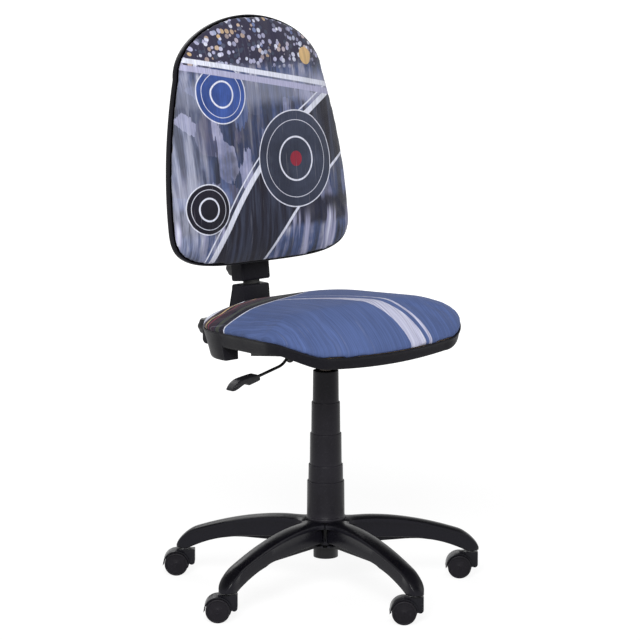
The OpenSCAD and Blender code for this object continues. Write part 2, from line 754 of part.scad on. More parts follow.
// Side of a flange below the plate: place along the seat and depth, over the bushing, the waist,
// the tilt pin and the rear corner
flange_waist_y = 20 * mm;
flange_waist_h = 39.5 * mm;
flange_pin_h = 43 * mm;
flange_rear_h = 49 * mm;
flange_side = [[plate_front_y, -flange_h], [0, -flange_h], [flange_waist_y, -flange_waist_h],
    [tilt_y, -flange_pin_h], [plate_rear_y, -flange_rear_h], [plate_rear_y, plate_t / 2],
    [plate_front_y, plate_t / 2]];

module seat_plate() {
    wall_top = seat_rim_z + plate_under + plate_t / 2;
    color("#303032") difference() {
        union() {
            seat_space() {
                translate([-plate_w / 2, plate_front_y, plate_under])
                    cube([plate_w, plate_rear_y - plate_front_y, plate_t]);
                for (x = [-plate_w / 2, plate_w / 2 - plate_t])
                    translate([x, 0, plate_under]) rotate([90, 0, 90]) linear_extrude(plate_t)
                        polygon(flange_side);
            }
            difference() {
                translate([-box_half_w, -box_half_l, box_floor_z])
                    cube([2 * box_half_w, 2 * box_half_l, wall_top - box_floor_z]);
                translate([-box_half_w + plate_t, -box_half_l + plate_t, box_floor_z + plate_t])
                    cube([2 * (box_half_w - plate_t), 2 * (box_half_l - plate_t), wall_top]);
            }
            rod(socket_bottom_z, cylinder_top_z - socket_bottom_z, socket_d / 2);
        }
        translate([0, 0, socket_bottom_z])
            cylinder(h = cone_l, r1 = cylinder_d / 2 + run_fit, r2 = cylinder_d / 2 - cone_shrink + run_fit);
        rod(socket_bottom_z - over, over + run_fit, cylinder_d / 2 + run_fit);
        rod(cylinder_top_z - over / 2, over, cylinder_d / 2 - cone_shrink + run_fit);
        translate([bush_x, lever_y, lever_pivot_z]) rotate([0, 90, 0])
            cylinder(h = plate_w / 4, r = bush_d / 2 + run_fit);
        translate([-box_half_w - over, lever_y - 2 * lever_d, lever_in_z - 2.5 * lever_d])
            cube([plate_t + 2 * over, 5 * lever_d, 4 * lever_d]);
        translate([-plate_w, tilt_y, tilt_z]) rotate([0, 90, 0])
            cylinder(h = 2 * plate_w, r = tilt_pin_d / 2 + run_fit);
        seat_space() at_spots(bolt_spots) rod(plate_under - over, plate_t + 2 * over, bolt_d / 2 + seat_gap);
    }
}

module plate_bolts() {
    color("dimgray") seat_space() at_spots(bolt_spots) {
        rod(plate_under - bolt_head_h - run_fit, bolt_head_h, bolt_head_d / 2);
        rod(plate_under - bolt_head_h, plate_t + seat_board_t, bolt_d / 2);
    }
}

module tilt_pin() {
    color("silver") translate([-plate_w / 2 - 3 * mm, tilt_y, tilt_z]) rotate([0, 90, 0])
        cylinder(h = plate_w + 6 * mm, r = tilt_pin_d / 2);
}

module lever_bushing() {
    color("#1c1c1e") translate([bush_x, lever_y, lever_pivot_z]) rotate([0, 90, 0]) difference() {
        union() {
            rod(-bush_half_l, 2 * bush_half_l, bush_d / 2);
            rod(-bush_half_l, bush_collar_h, bush_collar_d / 2);
        }
        rod(-over, 2 * over, lever_d / 2 + seat_gap);
        translate([0, 0, -bush_half_l - over]) cylinder(h = bush_half_l + over,
            r1 = lever_d / 2 + seat_gap + bush_flare, r2 = lever_d / 2 + seat_gap);
        cylinder(h = bush_half_l + over, r1 = lever_d / 2 + seat_gap,
            r2 = lever_d / 2 + seat_gap + bush_flare);
    }
}

// Lever, from over the release pin out to the paddle
lever_path = [
    [0, 0, lever_in_z],
    [-lever_lead, lever_y, lever_in_z],
    [bush_x, lever_y, lever_pivot_z],
    [bush_x - lever_neck, lever_y, lever_pivot_z - lever_neck_drop],
    [bush_x - lever_knee, lever_y, lever_pivot_z - lever_knee_drop],
    [bush_x - lever_out, lever_y, lever_pivot_z - lever_drop]
];
lever_end = lever_path[5];
lever_run = lever_end - lever_path[4];
lever_slope = atan(lever_run[2] / lever_run[0]);
grip_l = 26 * mm;
rod_sides = 16;

function unit(v) = v / norm(v);
// Ring of radius r about point i of a path in space, square to the path there
function rod_ring(path, i, r) = let (
        a = i > 0 ? unit(path[i] - path[i - 1]) : unit(path[1] - path[0]),
        b = i < len(path) - 1 ? unit(path[i + 1] - path[i]) : a,
        u = unit(cross(a + b, [0, 0, 1])),
        v = unit(cross(u, a + b)))
    [for (j = [0:rod_sides - 1]) path[i] + r * (cos(360 * j / rod_sides) * u + sin(360 * j / rod_sides) * v)];

module lever_rod() {
    path = concat(lever_path, [lever_end + grip_l * unit(lever_run)]);
    color("#19191a") skin([for (i = [len(path) - 1:-1:0]) rod_ring(path, i, lever_d / 2)]);
}

// Side outline of the paddle, from the rod's end outward: along and above the rod's axis
paddle_h = 16 * mm;
paddle_w = 24 * mm;
paddle_round_share = 0.35;
paddle_l = 71 * mm;
paddle_line_shares = [[0, 0.35], [0.03, 0.5], [0.2, 0.61], [0.41, 0.7], [0.56, 0.75], [0.65, 0.74],
    [0.79, 0.57], [0.93, 0.22], [1, 0.02], [0.985, -0.14], [0.92, -0.2], [0.78, -0.1], [0.65, 0.1],
    [0.52, 0.2], [0.48, 0.06], [0.42, -0.31], [0.05, -0.3], [0, -0.24]];

module lever_paddle() {
    color("#1c1c1e") translate(lever_end) rotate([0, -lever_slope, 0]) difference() {
        intersection() {
            rotate([90, 0, 0]) translate([0, 0, -paddle_w / 2]) linear_extrude(paddle_w)
                polygon([for (s = paddle_line_shares) [-s[0] * paddle_l, s[1] * paddle_h]]);
            translate([-paddle_l / 2, 0, -paddle_l]) linear_extrude(2 * paddle_l)
                polygon(round_rect(paddle_l + 2 * over, paddle_w, paddle_w * paddle_round_share));
        }
        rotate([0, -90, 0]) translate([0, 0, -over])
            cylinder(h = grip_l + 2 * over, r = lever_d / 2 + run_fit);
    }
}

// Backrest. Its pieces are drawn about the middle of the cushion's edge, with +Y
// to the rear, then sloped.

module back_space() {
    translate([0, back_mid_y, back_mid_z]) rotate([-back_recline, 0, 0]) children();
}

function in_back(y, z) = [back_mid_y + y * cos(back_recline) + z * sin(back_recline),
    back_mid_z - y * sin(back_recline) + z * cos(back_recline)];

dome_power = 1.92;
corner_power = 3.9;
dome_steps = 9;
flank_steps = 3;
foot_steps = 8;
function curve(a, power) = pow(max(0, a), 2 / power);
// Right half of the backrest's outline, from the top to the bottom, moved in by d
function back_half(d) = concat(
    [for (i = [0:dome_steps]) let (a = 90 - 90 * i / dome_steps)
        [(back_shoulder_w / 2 - d) * curve(cos(a), dome_power),
            back_shoulder_h + (back_top_h - back_shoulder_h - d) * curve(sin(a), dome_power)]],
    [for (i = [1:flank_steps]) let (t = i / (flank_steps + 1))
        [mix(back_shoulder_w, back_w, t) / 2 + 4 * flank_bow * t * (1 - t) - d,
            mix(back_shoulder_h, -back_wide_h, t)]],
    [for (i = [0:foot_steps]) let (a = 90 * i / foot_steps)
        [(back_w / 2 - d) * curve(cos(a), corner_power),
            -back_wide_h - (back_bottom_h - back_wide_h - d) * curve(sin(a), corner_power)]]);
function back_ring(d, y, share = 1) = [for (p = mirrored(back_half(d))) [p[0] * share, y, p[1] * share]];

cushion_back = 7 * mm;
cushion_back_in = 8.5 * mm;
board_back_t = 8 * mm;
// How far the backrest's board stays inside its outline
back_board_in = 16 * mm;
// Steel left over the bar's slot, and the rear screws' stand off the shell
slot_roof = 4 * mm;
screw_stand = 2 * mm;
shell_edge = 4.5 * mm;
pad_t = 7 * mm;
// How far the pad behind the shell stays inside the shell's lower edge and the sleeve's top
pad_inset = 16 * mm;
pad_edge = 4 * mm;
sleeve_front = back_shell_d + pad_t;
bar_line = sleeve_front + sleeve_d / 2;
sleeve_drop = 38 * mm;
sleeve_foot = -back_bottom_h - sleeve_drop;
sleeve_r = 7 * mm;
// Length of bar that stays in the sleeve with the backrest at its highest
bar_grip = 81 * mm;
bar_top = sleeve_foot + bar_grip + back_travel;
sleeve_top = bar_top + 14 * mm;
slot_gap = 0.6 * mm;
pad_foot = -back_bottom_h + pad_inset;

// Cushion profile over its edge: distance in from the outline and place behind it
back_edge = [[1.5 * mm, 3.5 * mm], [0, 0], [1.6 * mm, -4.5 * mm], [6 * mm, -10 * mm],
    [14 * mm, -15 * mm], [27 * mm, -19 * mm], [46 * mm, -22 * mm]];

module back_cushion() {
    last = back_edge[len(back_edge) - 1];
    color("#5f6f96") back_space() pillow(concat(
        [for (s = back_base_shares) back_ring(cushion_back_in, cushion_back, s)],
        [back_ring(cushion_back_in, cushion_back)],
        [for (e = back_edge) back_ring(e[0], e[1])],
        [for (s = crown_shares) back_ring(last[0], mix(last[1], -back_crown, s[1]), s[0])]),
        [0, cushion_back, 0], [0, -back_crown, 0]);
}

module back_board() {
    color("burlywood") back_space() difference() {
        rotate([-90, 0, 0]) translate([0, 0, cushion_back + seat_gap]) linear_extrude(board_back_t)
            polygon([for (p = mirrored(back_half(back_board_in))) [p[0], -p[1]]]);
        at_back_screws() cylinder(h = back_shell_d, r = screw_d / 2);
    }
}

// Outer profile of the rear shell: distance in from the outline and place behind it
shell_out = [[0.4 * mm, shell_edge], [0, 13 * mm], [2.5 * mm, 18 * mm], [10 * mm, 22.5 * mm],
    [40 * mm, 26 * mm]];
shell_in_shares = [0.3, 0.65];
shell_end_shares = [0.65, 0.3];

module back_shell() {
    last = shell_out[len(shell_out) - 1];
    top = last[1];
    color("#1b1b1d") back_space() difference() {
        union() {
            pillow(concat(
                [for (s = shell_in_shares) back_ring(last[0], mix(back_shell_d, top, s) - back_wall, s)],
                [for (i = [len(shell_out) - 1:-1:1])
                    back_ring(shell_out[i][0] + back_wall,
                        shell_out[i][1] - back_wall * i / (len(shell_out) - 1))],
                [back_ring(shell_out[0][0] + back_wall, shell_edge)],
                [for (e = shell_out) back_ring(e[0], e[1])],
                [for (s = shell_end_shares) back_ring(last[0], mix(back_shell_d, top, s), s)]),
                [0, back_shell_d - back_wall, 0], [0, back_shell_d, 0]);
            translate([-sleeve_w / 2 + sleeve_r, back_shell_d - back_wall, pad_foot])
                cube([sleeve_w - 2 * sleeve_r, sleeve_front - back_shell_d + back_wall - seat_gap,
                    sleeve_top - pad_edge - pad_foot]);
        }
        at_back_screws() cylinder(h = 2 * back_shell_d, r = screw_d / 2 + run_fit);
    }
}

back_screw_x = 120 * mm;
back_screw_low = -150 * mm;
back_screw_high = 90 * mm;

// Screws drive forward, so their local Z points to the front
module at_back_screws() {
    for (x = [-back_screw_x, back_screw_x]) for (z = [back_screw_low, back_screw_high])
        translate([x, back_shell_d + screw_stand, z]) rotate([90, 0, 0]) children();
}

module back_screws() {
    color("dimgray") back_space() at_back_screws() {
        rod(0, screw_head_h, screw_head_d / 2);
        rod(0, back_shell_d - cushion_back, screw_d / 2 - run_fit);
    }
}

module height_sleeve() {
    color("#202022") back_space() difference() {
        translate([0, bar_line, sleeve_foot]) linear_extrude(sleeve_top - sleeve_foot)
            polygon(round_rect(sleeve_w, sleeve_d, sleeve_r));
        translate([-bar_w / 2 - slot_gap, bar_line - bar_t / 2 - slot_gap, sleeve_foot - over])
            cube([bar_w + 2 * slot_gap, bar_t + 2 * slot_gap, sleeve_top - sleeve_foot - slot_roof]);
        translate([0, bar_line, sleeve_foot + knob_rise]) rotate([-90, 0, 0])
            cylinder(h = sleeve_d, r = stud_d / 2 + run_fit);
    }
}

knob_rise = 25 * mm;
stud_d = 8 * mm;
knob_neck_d = 20 * mm;
knob_neck_h = 12 * mm;
knob_h = 28 * mm;
knob_lobes = 6;
lobe_share = 0.17;
lobe_sink_share = 0.6;
knob_lobe_r = knob_d * lobe_share;
knob_bevel = 3 * mm;

// Clamping knob with its stud, pointing along +Y from its seat at the origin
module knob(reach) {
    rotate([-90, 0, 0]) {
        rod(-reach, reach + knob_neck_h, stud_d / 2);
        rod(seat_gap, knob_neck_h, knob_neck_d / 2);
        translate([0, 0, knob_neck_h]) linear_extrude(knob_h - knob_bevel) knob_outline(0);
        translate([0, 0, knob_neck_h + knob_h - knob_bevel - over])
            linear_extrude(knob_bevel + over) knob_outline(knob_bevel);
    }
}

module knob_outline(shrink) {
    circle(knob_d / 2 - knob_lobe_r * lobe_sink_share - shrink);
    for (i = [0:knob_lobes - 1]) rotate([0, 0, i * 360 / knob_lobes])
        translate([knob_d / 2 - knob_lobe_r, 0]) circle(knob_lobe_r - shrink / 2);
}

module height_knob() {
    color("#1a1a1b") back_space()
        translate([0, sleeve_front + sleeve_d, sleeve_foot + knob_rise])
            knob(sleeve_d / 2 - bar_t / 2 - seat_gap);
}

// L-bar: its level leg hangs on the tilt pin, its upright runs in the sleeve

eye_wall = 4 * mm;
leg_z = tilt_z - tilt_pin_d / 2 - eye_wall - bar_t / 2;
elbow_r = 36 * mm;
elbow_steps = 6;
eye_w = 60 * mm;
eye_d = tilt_pin_d + 9 * mm;
knee_gap = 8 * mm;
knee_top = in_back(bar_line, sleeve_foot - knee_gap);
bend_low = in_back(bar_line, (leg_z + elbow_r - back_mid_z) / cos(back_recline));
bar_path = concat(
    [[tilt_y, leg_z]],
    [for (i = [0:elbow_steps]) let (a = -90 + (90 - back_recline) * i / elbow_steps)
        [bend_low[0] - elbow_r + elbow_r * cos(a), leg_z + elbow_r + elbow_r * sin(a)]],
    [in_back(bar_line, bar_top)]);

function turn(v) = [-v[1], v[0]] / norm(v);
// Sideways offset of point i of a path, mitred between its two neighbours
function side(path, i, t) = let (
        a = i > 0 ? unit(path[i] - path[i - 1]) : unit(path[1] - path[0]),
        b = i < len(path) - 1 ? unit(path[i + 1] - path[i]) : a,
        n = turn(a + b))
    path[i] + n * t / (n * turn(a));
function strip(path, t) = concat([for (i = [0:len(path) - 1]) side(path, i, t / 2)],
    [for (i = [len(path) - 1:-1:0]) side(path, i, -t / 2)]);

// Draws a (y, z) outline as a plate of width w across the chair
module across(w) {
    rotate([90, 0, 90]) translate([0, 0, -w / 2]) linear_extrude(w) children();
}

module l_bar() {
    color("#27272a") difference() {
        union() {
            across(bar_w) polygon(strip(bar_path, bar_t));
            across(eye_w) translate([tilt_y, tilt_z]) circle(eye_d / 2);
            across(bar_w) translate([tilt_y - eye_d / 3, leg_z]) square([eye_d * 2 / 3, tilt_z - leg_z]);
        }
        across(eye_w + 2 * over) translate([tilt_y, tilt_z]) circle(tilt_pin_d / 2 + run_fit);
    }
}

module tilt_spring() {
    color("silver") for (s = [-1, 1]) translate([s * (eye_w / 2 + spring_l / 2 + seat_gap), 0, 0])
        across(spring_l) translate([tilt_y, tilt_z]) difference() {
            circle(spring_d / 2);
            circle(tilt_pin_d / 2 + run_fit);
        }
}

// Cover over the bar's elbow: an outline of places along and up, then its walls
knee_w = sleeve_w - 2 * mm;
knee_wall = 3 * mm;
knee_under = 12 * mm;
knee_reach = 145 * mm;
knee_lap = 14 * mm;
knee_stand = 6 * mm;
knee_foot_z = leg_z - bar_t / 2 - knee_under;
knee_rear_y = seat_rear_y + knee_reach;
knee_front_y = seat_rear_y - knee_lap;
knee_face_y = seat_rear_y + knee_stand;
knee_h = knee_top[1] - knee_foot_z;
knee_top_in = 5 * mm;
knee_top_front = knee_top[0] - sleeve_d / 2 + knee_top_in;
knee_top_rear = knee_top[0] + sleeve_d / 2;
knob_line_rise = 29 * mm;
knob_line_z = knee_foot_z + knob_line_rise;
// How far the outline's rear corners lie from the upright and from the rear face
knee_swell = 5 * mm;
knee_slope = 18 * mm;
knee_deck = 45 * mm;
knee_chamfer = 8 * mm;
knee_heel = 7 * mm;
knee_heel_h = 6 * mm;

// Heights of the outline's corners, as shares of the cover's height: down its rear,
// then up its front
rear_shares = [0.72, 0.54, 0.41, 0.37, 0.33];
front_shares = [0.24, 0.34, 0.5];

function knee_z(share) = knee_foot_z + knee_h * share;
function knee_outline(t) = [
    [knee_top_front + t, knee_top[1] - t],
    [knee_top_rear - t, knee_top[1] - t],
    [knee_top_rear + knee_swell - t, knee_z(rear_shares[0])],
    [knee_top_rear + knee_slope - t, knee_z(rear_shares[1])],
    [knee_rear_y - knee_deck - t, knee_z(rear_shares[2]) - t / 2],
    [knee_rear_y - knee_chamfer - t, knee_z(rear_shares[3]) - t],
    [knee_rear_y - t, knee_z(rear_shares[4]) - t],
    [knee_rear_y - t, knee_foot_z + knee_heel_h + t / 2],
    [knee_rear_y - knee_heel - t / 2, knee_foot_z + t],
    [knee_front_y, knee_foot_z + t],
    [knee_front_y, knee_z(front_shares[0]) - t],
    [knee_face_y + t, knee_z(front_shares[1])],
    [knee_face_y + t, knee_z(front_shares[2])]
];

module knee_cover() {
    color("#1f1f21") difference() {
        across(knee_w) polygon(knee_outline(0));
        across(knee_w - 2 * knee_wall) polygon(knee_outline(knee_wall));
        across(knee_w - 2 * knee_wall) translate([knee_front_y - over, knee_foot_z + knee_wall])
            square([2 * over, knee_h * front_shares[0] - 2 * knee_wall]);
        across(bar_w + 2 * seat_gap)
            translate([knee_top[0] - bar_t / 2 - slot_gap, knee_top[1] - 2 * knee_wall])
            square([bar_t + 2 * slot_gap, 3 * knee_wall]);
        translate([0, knee_rear_y - 2 * knee_wall, knob_line_z]) rotate([-90, 0, 0])
            cylinder(h = 3 * knee_wall, r = stud_d / 2 + run_fit);
    }
}

// Distance from the upright's rear to the end of the tension knob's stud
stud_rest = 20 * mm;

module tension_knob() {
    color("#1a1a1b") translate([0, knee_rear_y, knob_line_z]) knob(knee_rear_y - knee_top_rear - stud_rest);
}

// What is drawn

star_base();
stand_tube();
stand_clip();
thrust_bearing();
piston_rod();
guide_bush();
for (k = [1:5]) cover_section(k);
gas_cylinder();
release_pin();
seat_plate();
tilt_pin();
tilt_spring();
lever_bushing();
lever_rod();
lever_paddle();
seat_board();
seat_cushion();
seat_shell();
plate_bolts();
tee_nuts();
shell_screws();
l_bar();
knee_cover();
tension_knob();
height_sleeve();
height_knob();
back_shell();
back_board();
back_cushion();
back_screws();
for (i = [0:ARMS - 1]) {
    at_castor(i) castor_hood();
    at_castor(i) castor_stem();
    at_castor(i) castor_axle();
    at_castor(i) castor_wheel();
    at_castor(i) mirror([0, 1, 0]) castor_wheel();
}
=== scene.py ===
"""Looks of a child's swivel desk chair, built round its packed construction.

Lengths are in millimetres in the chair's frame (floor under the column, the sitter faces -Y) and
become metres where a mesh is made. Print places are in metres, as the shaders read them.
"""
from math import atan2, cos, pi, radians, sin, sqrt, tan

import bpy
import bmesh
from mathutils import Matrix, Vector


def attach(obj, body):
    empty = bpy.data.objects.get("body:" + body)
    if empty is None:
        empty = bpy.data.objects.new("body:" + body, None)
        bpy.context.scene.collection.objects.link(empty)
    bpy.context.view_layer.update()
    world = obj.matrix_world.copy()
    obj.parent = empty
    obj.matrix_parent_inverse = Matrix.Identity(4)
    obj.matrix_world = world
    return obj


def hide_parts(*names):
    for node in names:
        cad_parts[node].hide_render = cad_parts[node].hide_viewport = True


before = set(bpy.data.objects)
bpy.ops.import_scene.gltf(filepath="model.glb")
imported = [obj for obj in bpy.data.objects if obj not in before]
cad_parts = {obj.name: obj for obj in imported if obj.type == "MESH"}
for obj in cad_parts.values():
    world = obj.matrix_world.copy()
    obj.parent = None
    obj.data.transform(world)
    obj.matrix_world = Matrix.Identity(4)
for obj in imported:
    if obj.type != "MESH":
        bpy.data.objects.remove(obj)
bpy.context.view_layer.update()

MM = 0.001
WELD = 1e-6   # metres

# Sizes of the chair, in millimetres and degrees

CASTORS = ["left_rear", "right_rear", "right_side", "front", "left_side"]
FIRST_ARM = 46
CASTOR_CIRCLE = 307
TRAIL_ANGLE = 138
TRAIL = 20
WHEEL_D = 48
CASTOR_W = 45
HUB_D = 64
HUB_FOOT = 90
HUB_RECESS = 3
CREST = 146
COVER_TOP = 449
COVER_STEP = 64
COVER_D = 51.5
COVER_D_STEP = 5.9
COVER_FLARE = 1.4
COVER_WALL = 1.7
COVER_BASE_H = 80
SOCKET_FOOT = 455

SEAT_RIM = 545
SEAT_TILT = 2
SEAT_FRONT_W = 488
SEAT_REAR_W = 445
SEAT_FRONT_Y = 199
SEAT_REAR_Y = 201
SEAT_FRONT_R = 94
SEAT_REAR_R = 135
SEAT_BOW = 8
SEAT_DROP = 39
SEAT_DROP_L = 94
SEAT_CROWN = 51
SHELL_SIDE_H = 30
SHELL_FRONT_H = 23
SKIRT_H = 58
SKIRT_W = 34
SHELL_WALL = 2.6

BACK_RECLINE = 6.9
BACK_MID_Z = 900
BACK_MID_Y = 210
BACK_W = 473
BACK_SHOULDER_W = 387
BACK_TOP = 250
BACK_SHOULDER = 129
BACK_WIDE = 150
BACK_BOTTOM = 252
BACK_CROWN = 28
FLANK_BOW = 10
BACK_SHELL_D = 28
BACK_WALL = 2.8
SLEEVE_W = 75
SLEEVE_D = 40
SLEEVE_FRONT = 35
SLEEVE_FOOT = -290
SLEEVE_H = 155
BAR_W = 40
BAR_T = 6
KNOB_D = 36
LEVER_D = 6


# Plain helpers

def mix(a, b, t):
    return a + (b - a) * t


def part(t):
    return max(0.0, min(1.0, t))


def ease(t):
    t = part(t)
    return t * t * (3 - 2 * t)


def arc(centre, r, start, end, steps):
    turns = [radians(mix(start, end, i / steps)) for i in range(steps + 1)]
    return [(centre[0] + r * cos(a), centre[1] + r * sin(a)) for a in turns]


def mirrored(half):
    """A closed outline from its right half, whose first and last points lie on the middle line."""
    return half + [(-x, y) for x, y in half[-2:0:-1]]


def round_rect(w, d, r, steps=6):
    corners = [(w / 2 - r, d / 2 - r, 0), (r - w / 2, d / 2 - r, 90),
               (r - w / 2, r - d / 2, 180), (w / 2 - r, r - d / 2, 270)]
    return [p for x, y, a in corners for p in arc((x, y), r, a, a + 90, steps)]


def seat_space(p):
    """A point drawn about the middle of the shell's rim, in the chair's frame."""
    c, s = cos(radians(SEAT_TILT)), sin(radians(SEAT_TILT))
    return (p[0], p[1] * c + p[2] * s, SEAT_RIM - p[1] * s + p[2] * c)


def back_space(p):
    """A point drawn about the middle of the backrest, in the chair's frame."""
    c, s = cos(radians(BACK_RECLINE)), sin(radians(BACK_RECLINE))
    return (p[0], BACK_MID_Y + p[1] * c + p[2] * s, BACK_MID_Z - p[1] * s + p[2] * c)


def castor_space(i, mirror=1):
    """Places a point drawn about a castor's pivot, its wheels towards -X, at arm i."""
    a, t = radians(FIRST_ARM + 72 * i), radians(TRAIL_ANGLE - 180)
    return lambda p: (CASTOR_CIRCLE * cos(a) + p[0] * cos(t) - mirror * p[1] * sin(t),
                      CASTOR_CIRCLE * sin(a) + p[0] * sin(t) + mirror * p[1] * cos(t), p[2])


# Meshes

def placed(name, data):
    obj = bpy.data.objects.new(name, data)
    bpy.context.scene.collection.objects.link(obj)
    return obj


def solid(name, points, faces, weld=0):
    """A mesh from points in millimetres, its faces turned outward."""
    mesh = bpy.data.meshes.new(name)
    mesh.from_pydata([Vector(p) * MM for p in points], [], faces)
    bm = bmesh.new()
    bm.from_mesh(mesh)
    if weld:
        bmesh.ops.remove_doubles(bm, verts=bm.verts, dist=weld)
    bmesh.ops.recalc_face_normals(bm, faces=bm.faces)
    bm.to_mesh(mesh)
    bm.free()
    return mesh


def piece(name, points, faces, body, material, slot, nodes, place=None, sharp=35):
    """A mesh piece that rides on a body, shaded smooth up to the sharp angle."""
    mesh = solid(name, [place(p) for p in points] if place else points, faces, WELD)
    mesh.shade_smooth()
    if sharp:
        mesh.set_sharp_from_angle(angle=radians(sharp))
    mesh.materials.append(material)
    obj = placed(name, mesh)
    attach(obj, body)
    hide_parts(*nodes)
    return obj


def apply_modifiers(obj):
    bpy.context.view_layer.update()
    result = bpy.data.meshes.new_from_object(
        obj.evaluated_get(bpy.context.evaluated_depsgraph_get()))
    obj.modifiers.clear()
    obj.data = result


def skin(rings, closed=False, ends="flat"):
    """Points and faces of a skin over rings with equal numbers of points."""
    n, m = len(rings[0]), len(rings)
    points = [p for ring in rings for p in ring]
    faces = []
    for i in range(m if closed else m - 1):
        for j in range(n):
            k, g = (j + 1) % n, (i + 1) % m
            faces.append((i * n + j, i * n + k, g * n + k, g * n + j))
    if not closed and ends == "flat":
        faces += [tuple(range(n))[::-1], tuple(range((m - 1) * n, m * n))]
    if not closed and ends == "fan":
        for ring, start in ((rings[0], 0), (rings[-1], (m - 1) * n)):
            points.append(tuple(sum(p[a] for p in ring) / n for a in range(3)))
            faces += [(len(points) - 1, start + j, start + (j + 1) % n) for j in range(n)]
    return points, faces


def around(r, z, i, steps):
    a = 2 * pi * i / steps
    return r * cos(a), r * sin(a), z


def lathe(profile, steps=96):
    """Points and faces of a closed (r, z) profile turned about Z."""
    return skin([[around(r, z, i, steps) for r, z in profile] for i in range(steps)], closed=True)


def spin(profile, steps=96):
    """Points and faces of an open (r, z) profile that starts and ends on the axis."""
    return skin([[around(r, z, i, steps) for i in range(steps)] for r, z in profile])


def cylinder(r, low, high, steps=32):
    return spin([(0, low), (r, low), (r, high), (0, high)], steps)


def moved(shape, place):
    """A shape, as points and faces, with every point put through place."""
    return [place(p) for p in shape[0]], shape[1]


def plate(outline, low, high):
    """Points and faces of a flat outline (x, y), raised from low to high."""
    return skin([[(x, y, z) for x, y in outline] for z in (low, high)])


def soften(obj, width, angle=35):
    """Rounds the sharp edges of a piece."""
    bevel = obj.modifiers.new("rounded edges", "BEVEL")
    bevel.width = width * MM
    bevel.segments = 2
    bevel.limit_method = "ANGLE"
    bevel.angle_limit = radians(angle)
    bevel.harden_normals = True
    bevel.use_clamp_overlap = True


def combine(obj, tools, operation):
    """Adds or cuts closed shapes, each (points, faces) in millimetres, and applies the result."""
    for points, faces in tools:
        tool = placed("tool", solid("tool", points, faces))
        step = obj.modifiers.new("cut", "BOOLEAN")
        step.operation = operation
        step.object = tool
        step.solver = "EXACT"
        apply_modifiers(obj)
        bpy.data.objects.remove(tool)


# Materials. A Wire is a number in a node tree that takes plain arithmetic.

def feed(tree, socket, value):
    """Puts a wire, a socket, a colour or a number on an input; None leaves it as it is."""
    if isinstance(value, Wire):
        tree.links.new(value.socket, socket)
    elif isinstance(value, bpy.types.NodeSocket):
        tree.links.new(value, socket)
    elif isinstance(value, tuple):
        socket.default_value = (*value, 1)
    elif value is not None:
        socket.default_value = value


def shader_node(tree, kind, *inputs):
    """A new node; inputs are pairs of an input's name or number and its value."""
    node = tree.nodes.new("ShaderNode" + kind)
    for key, value in inputs:
        feed(tree, node.inputs[key], value)
    return node


class Wire:
    def __init__(self, tree, socket):
        self.tree, self.socket = tree, socket

    def op(self, kind, other=None):
        node = shader_node(self.tree, "Math", (0, self), (1, other))
        node.operation = kind
        return Wire(self.tree, node.outputs[0])

    def __add__(self, other):
        return self.op("ADD", other)

    def __sub__(self, other):
        return self.op("SUBTRACT", other)

    def __mul__(self, other):
        return self.op("MULTIPLY", other)

    def __abs__(self):
        return self.op("ABSOLUTE")

    def most(self, other):
        return self.op("MAXIMUM", other)

    def sine(self):
        return self.op("SINE")

    def root(self):
        return self.op("SQRT")

    def step(self, start, end, low=0.0, high=1.0):
        """Runs smoothly from low to high as the wire goes from start to end."""
        node = shader_node(self.tree, "MapRange", ("Value", self), ("From Min", start),
                           ("From Max", end), ("To Min", low), ("To Max", high))
        node.interpolation_type = "SMOOTHSTEP"
        return Wire(self.tree, node.outputs["Result"])


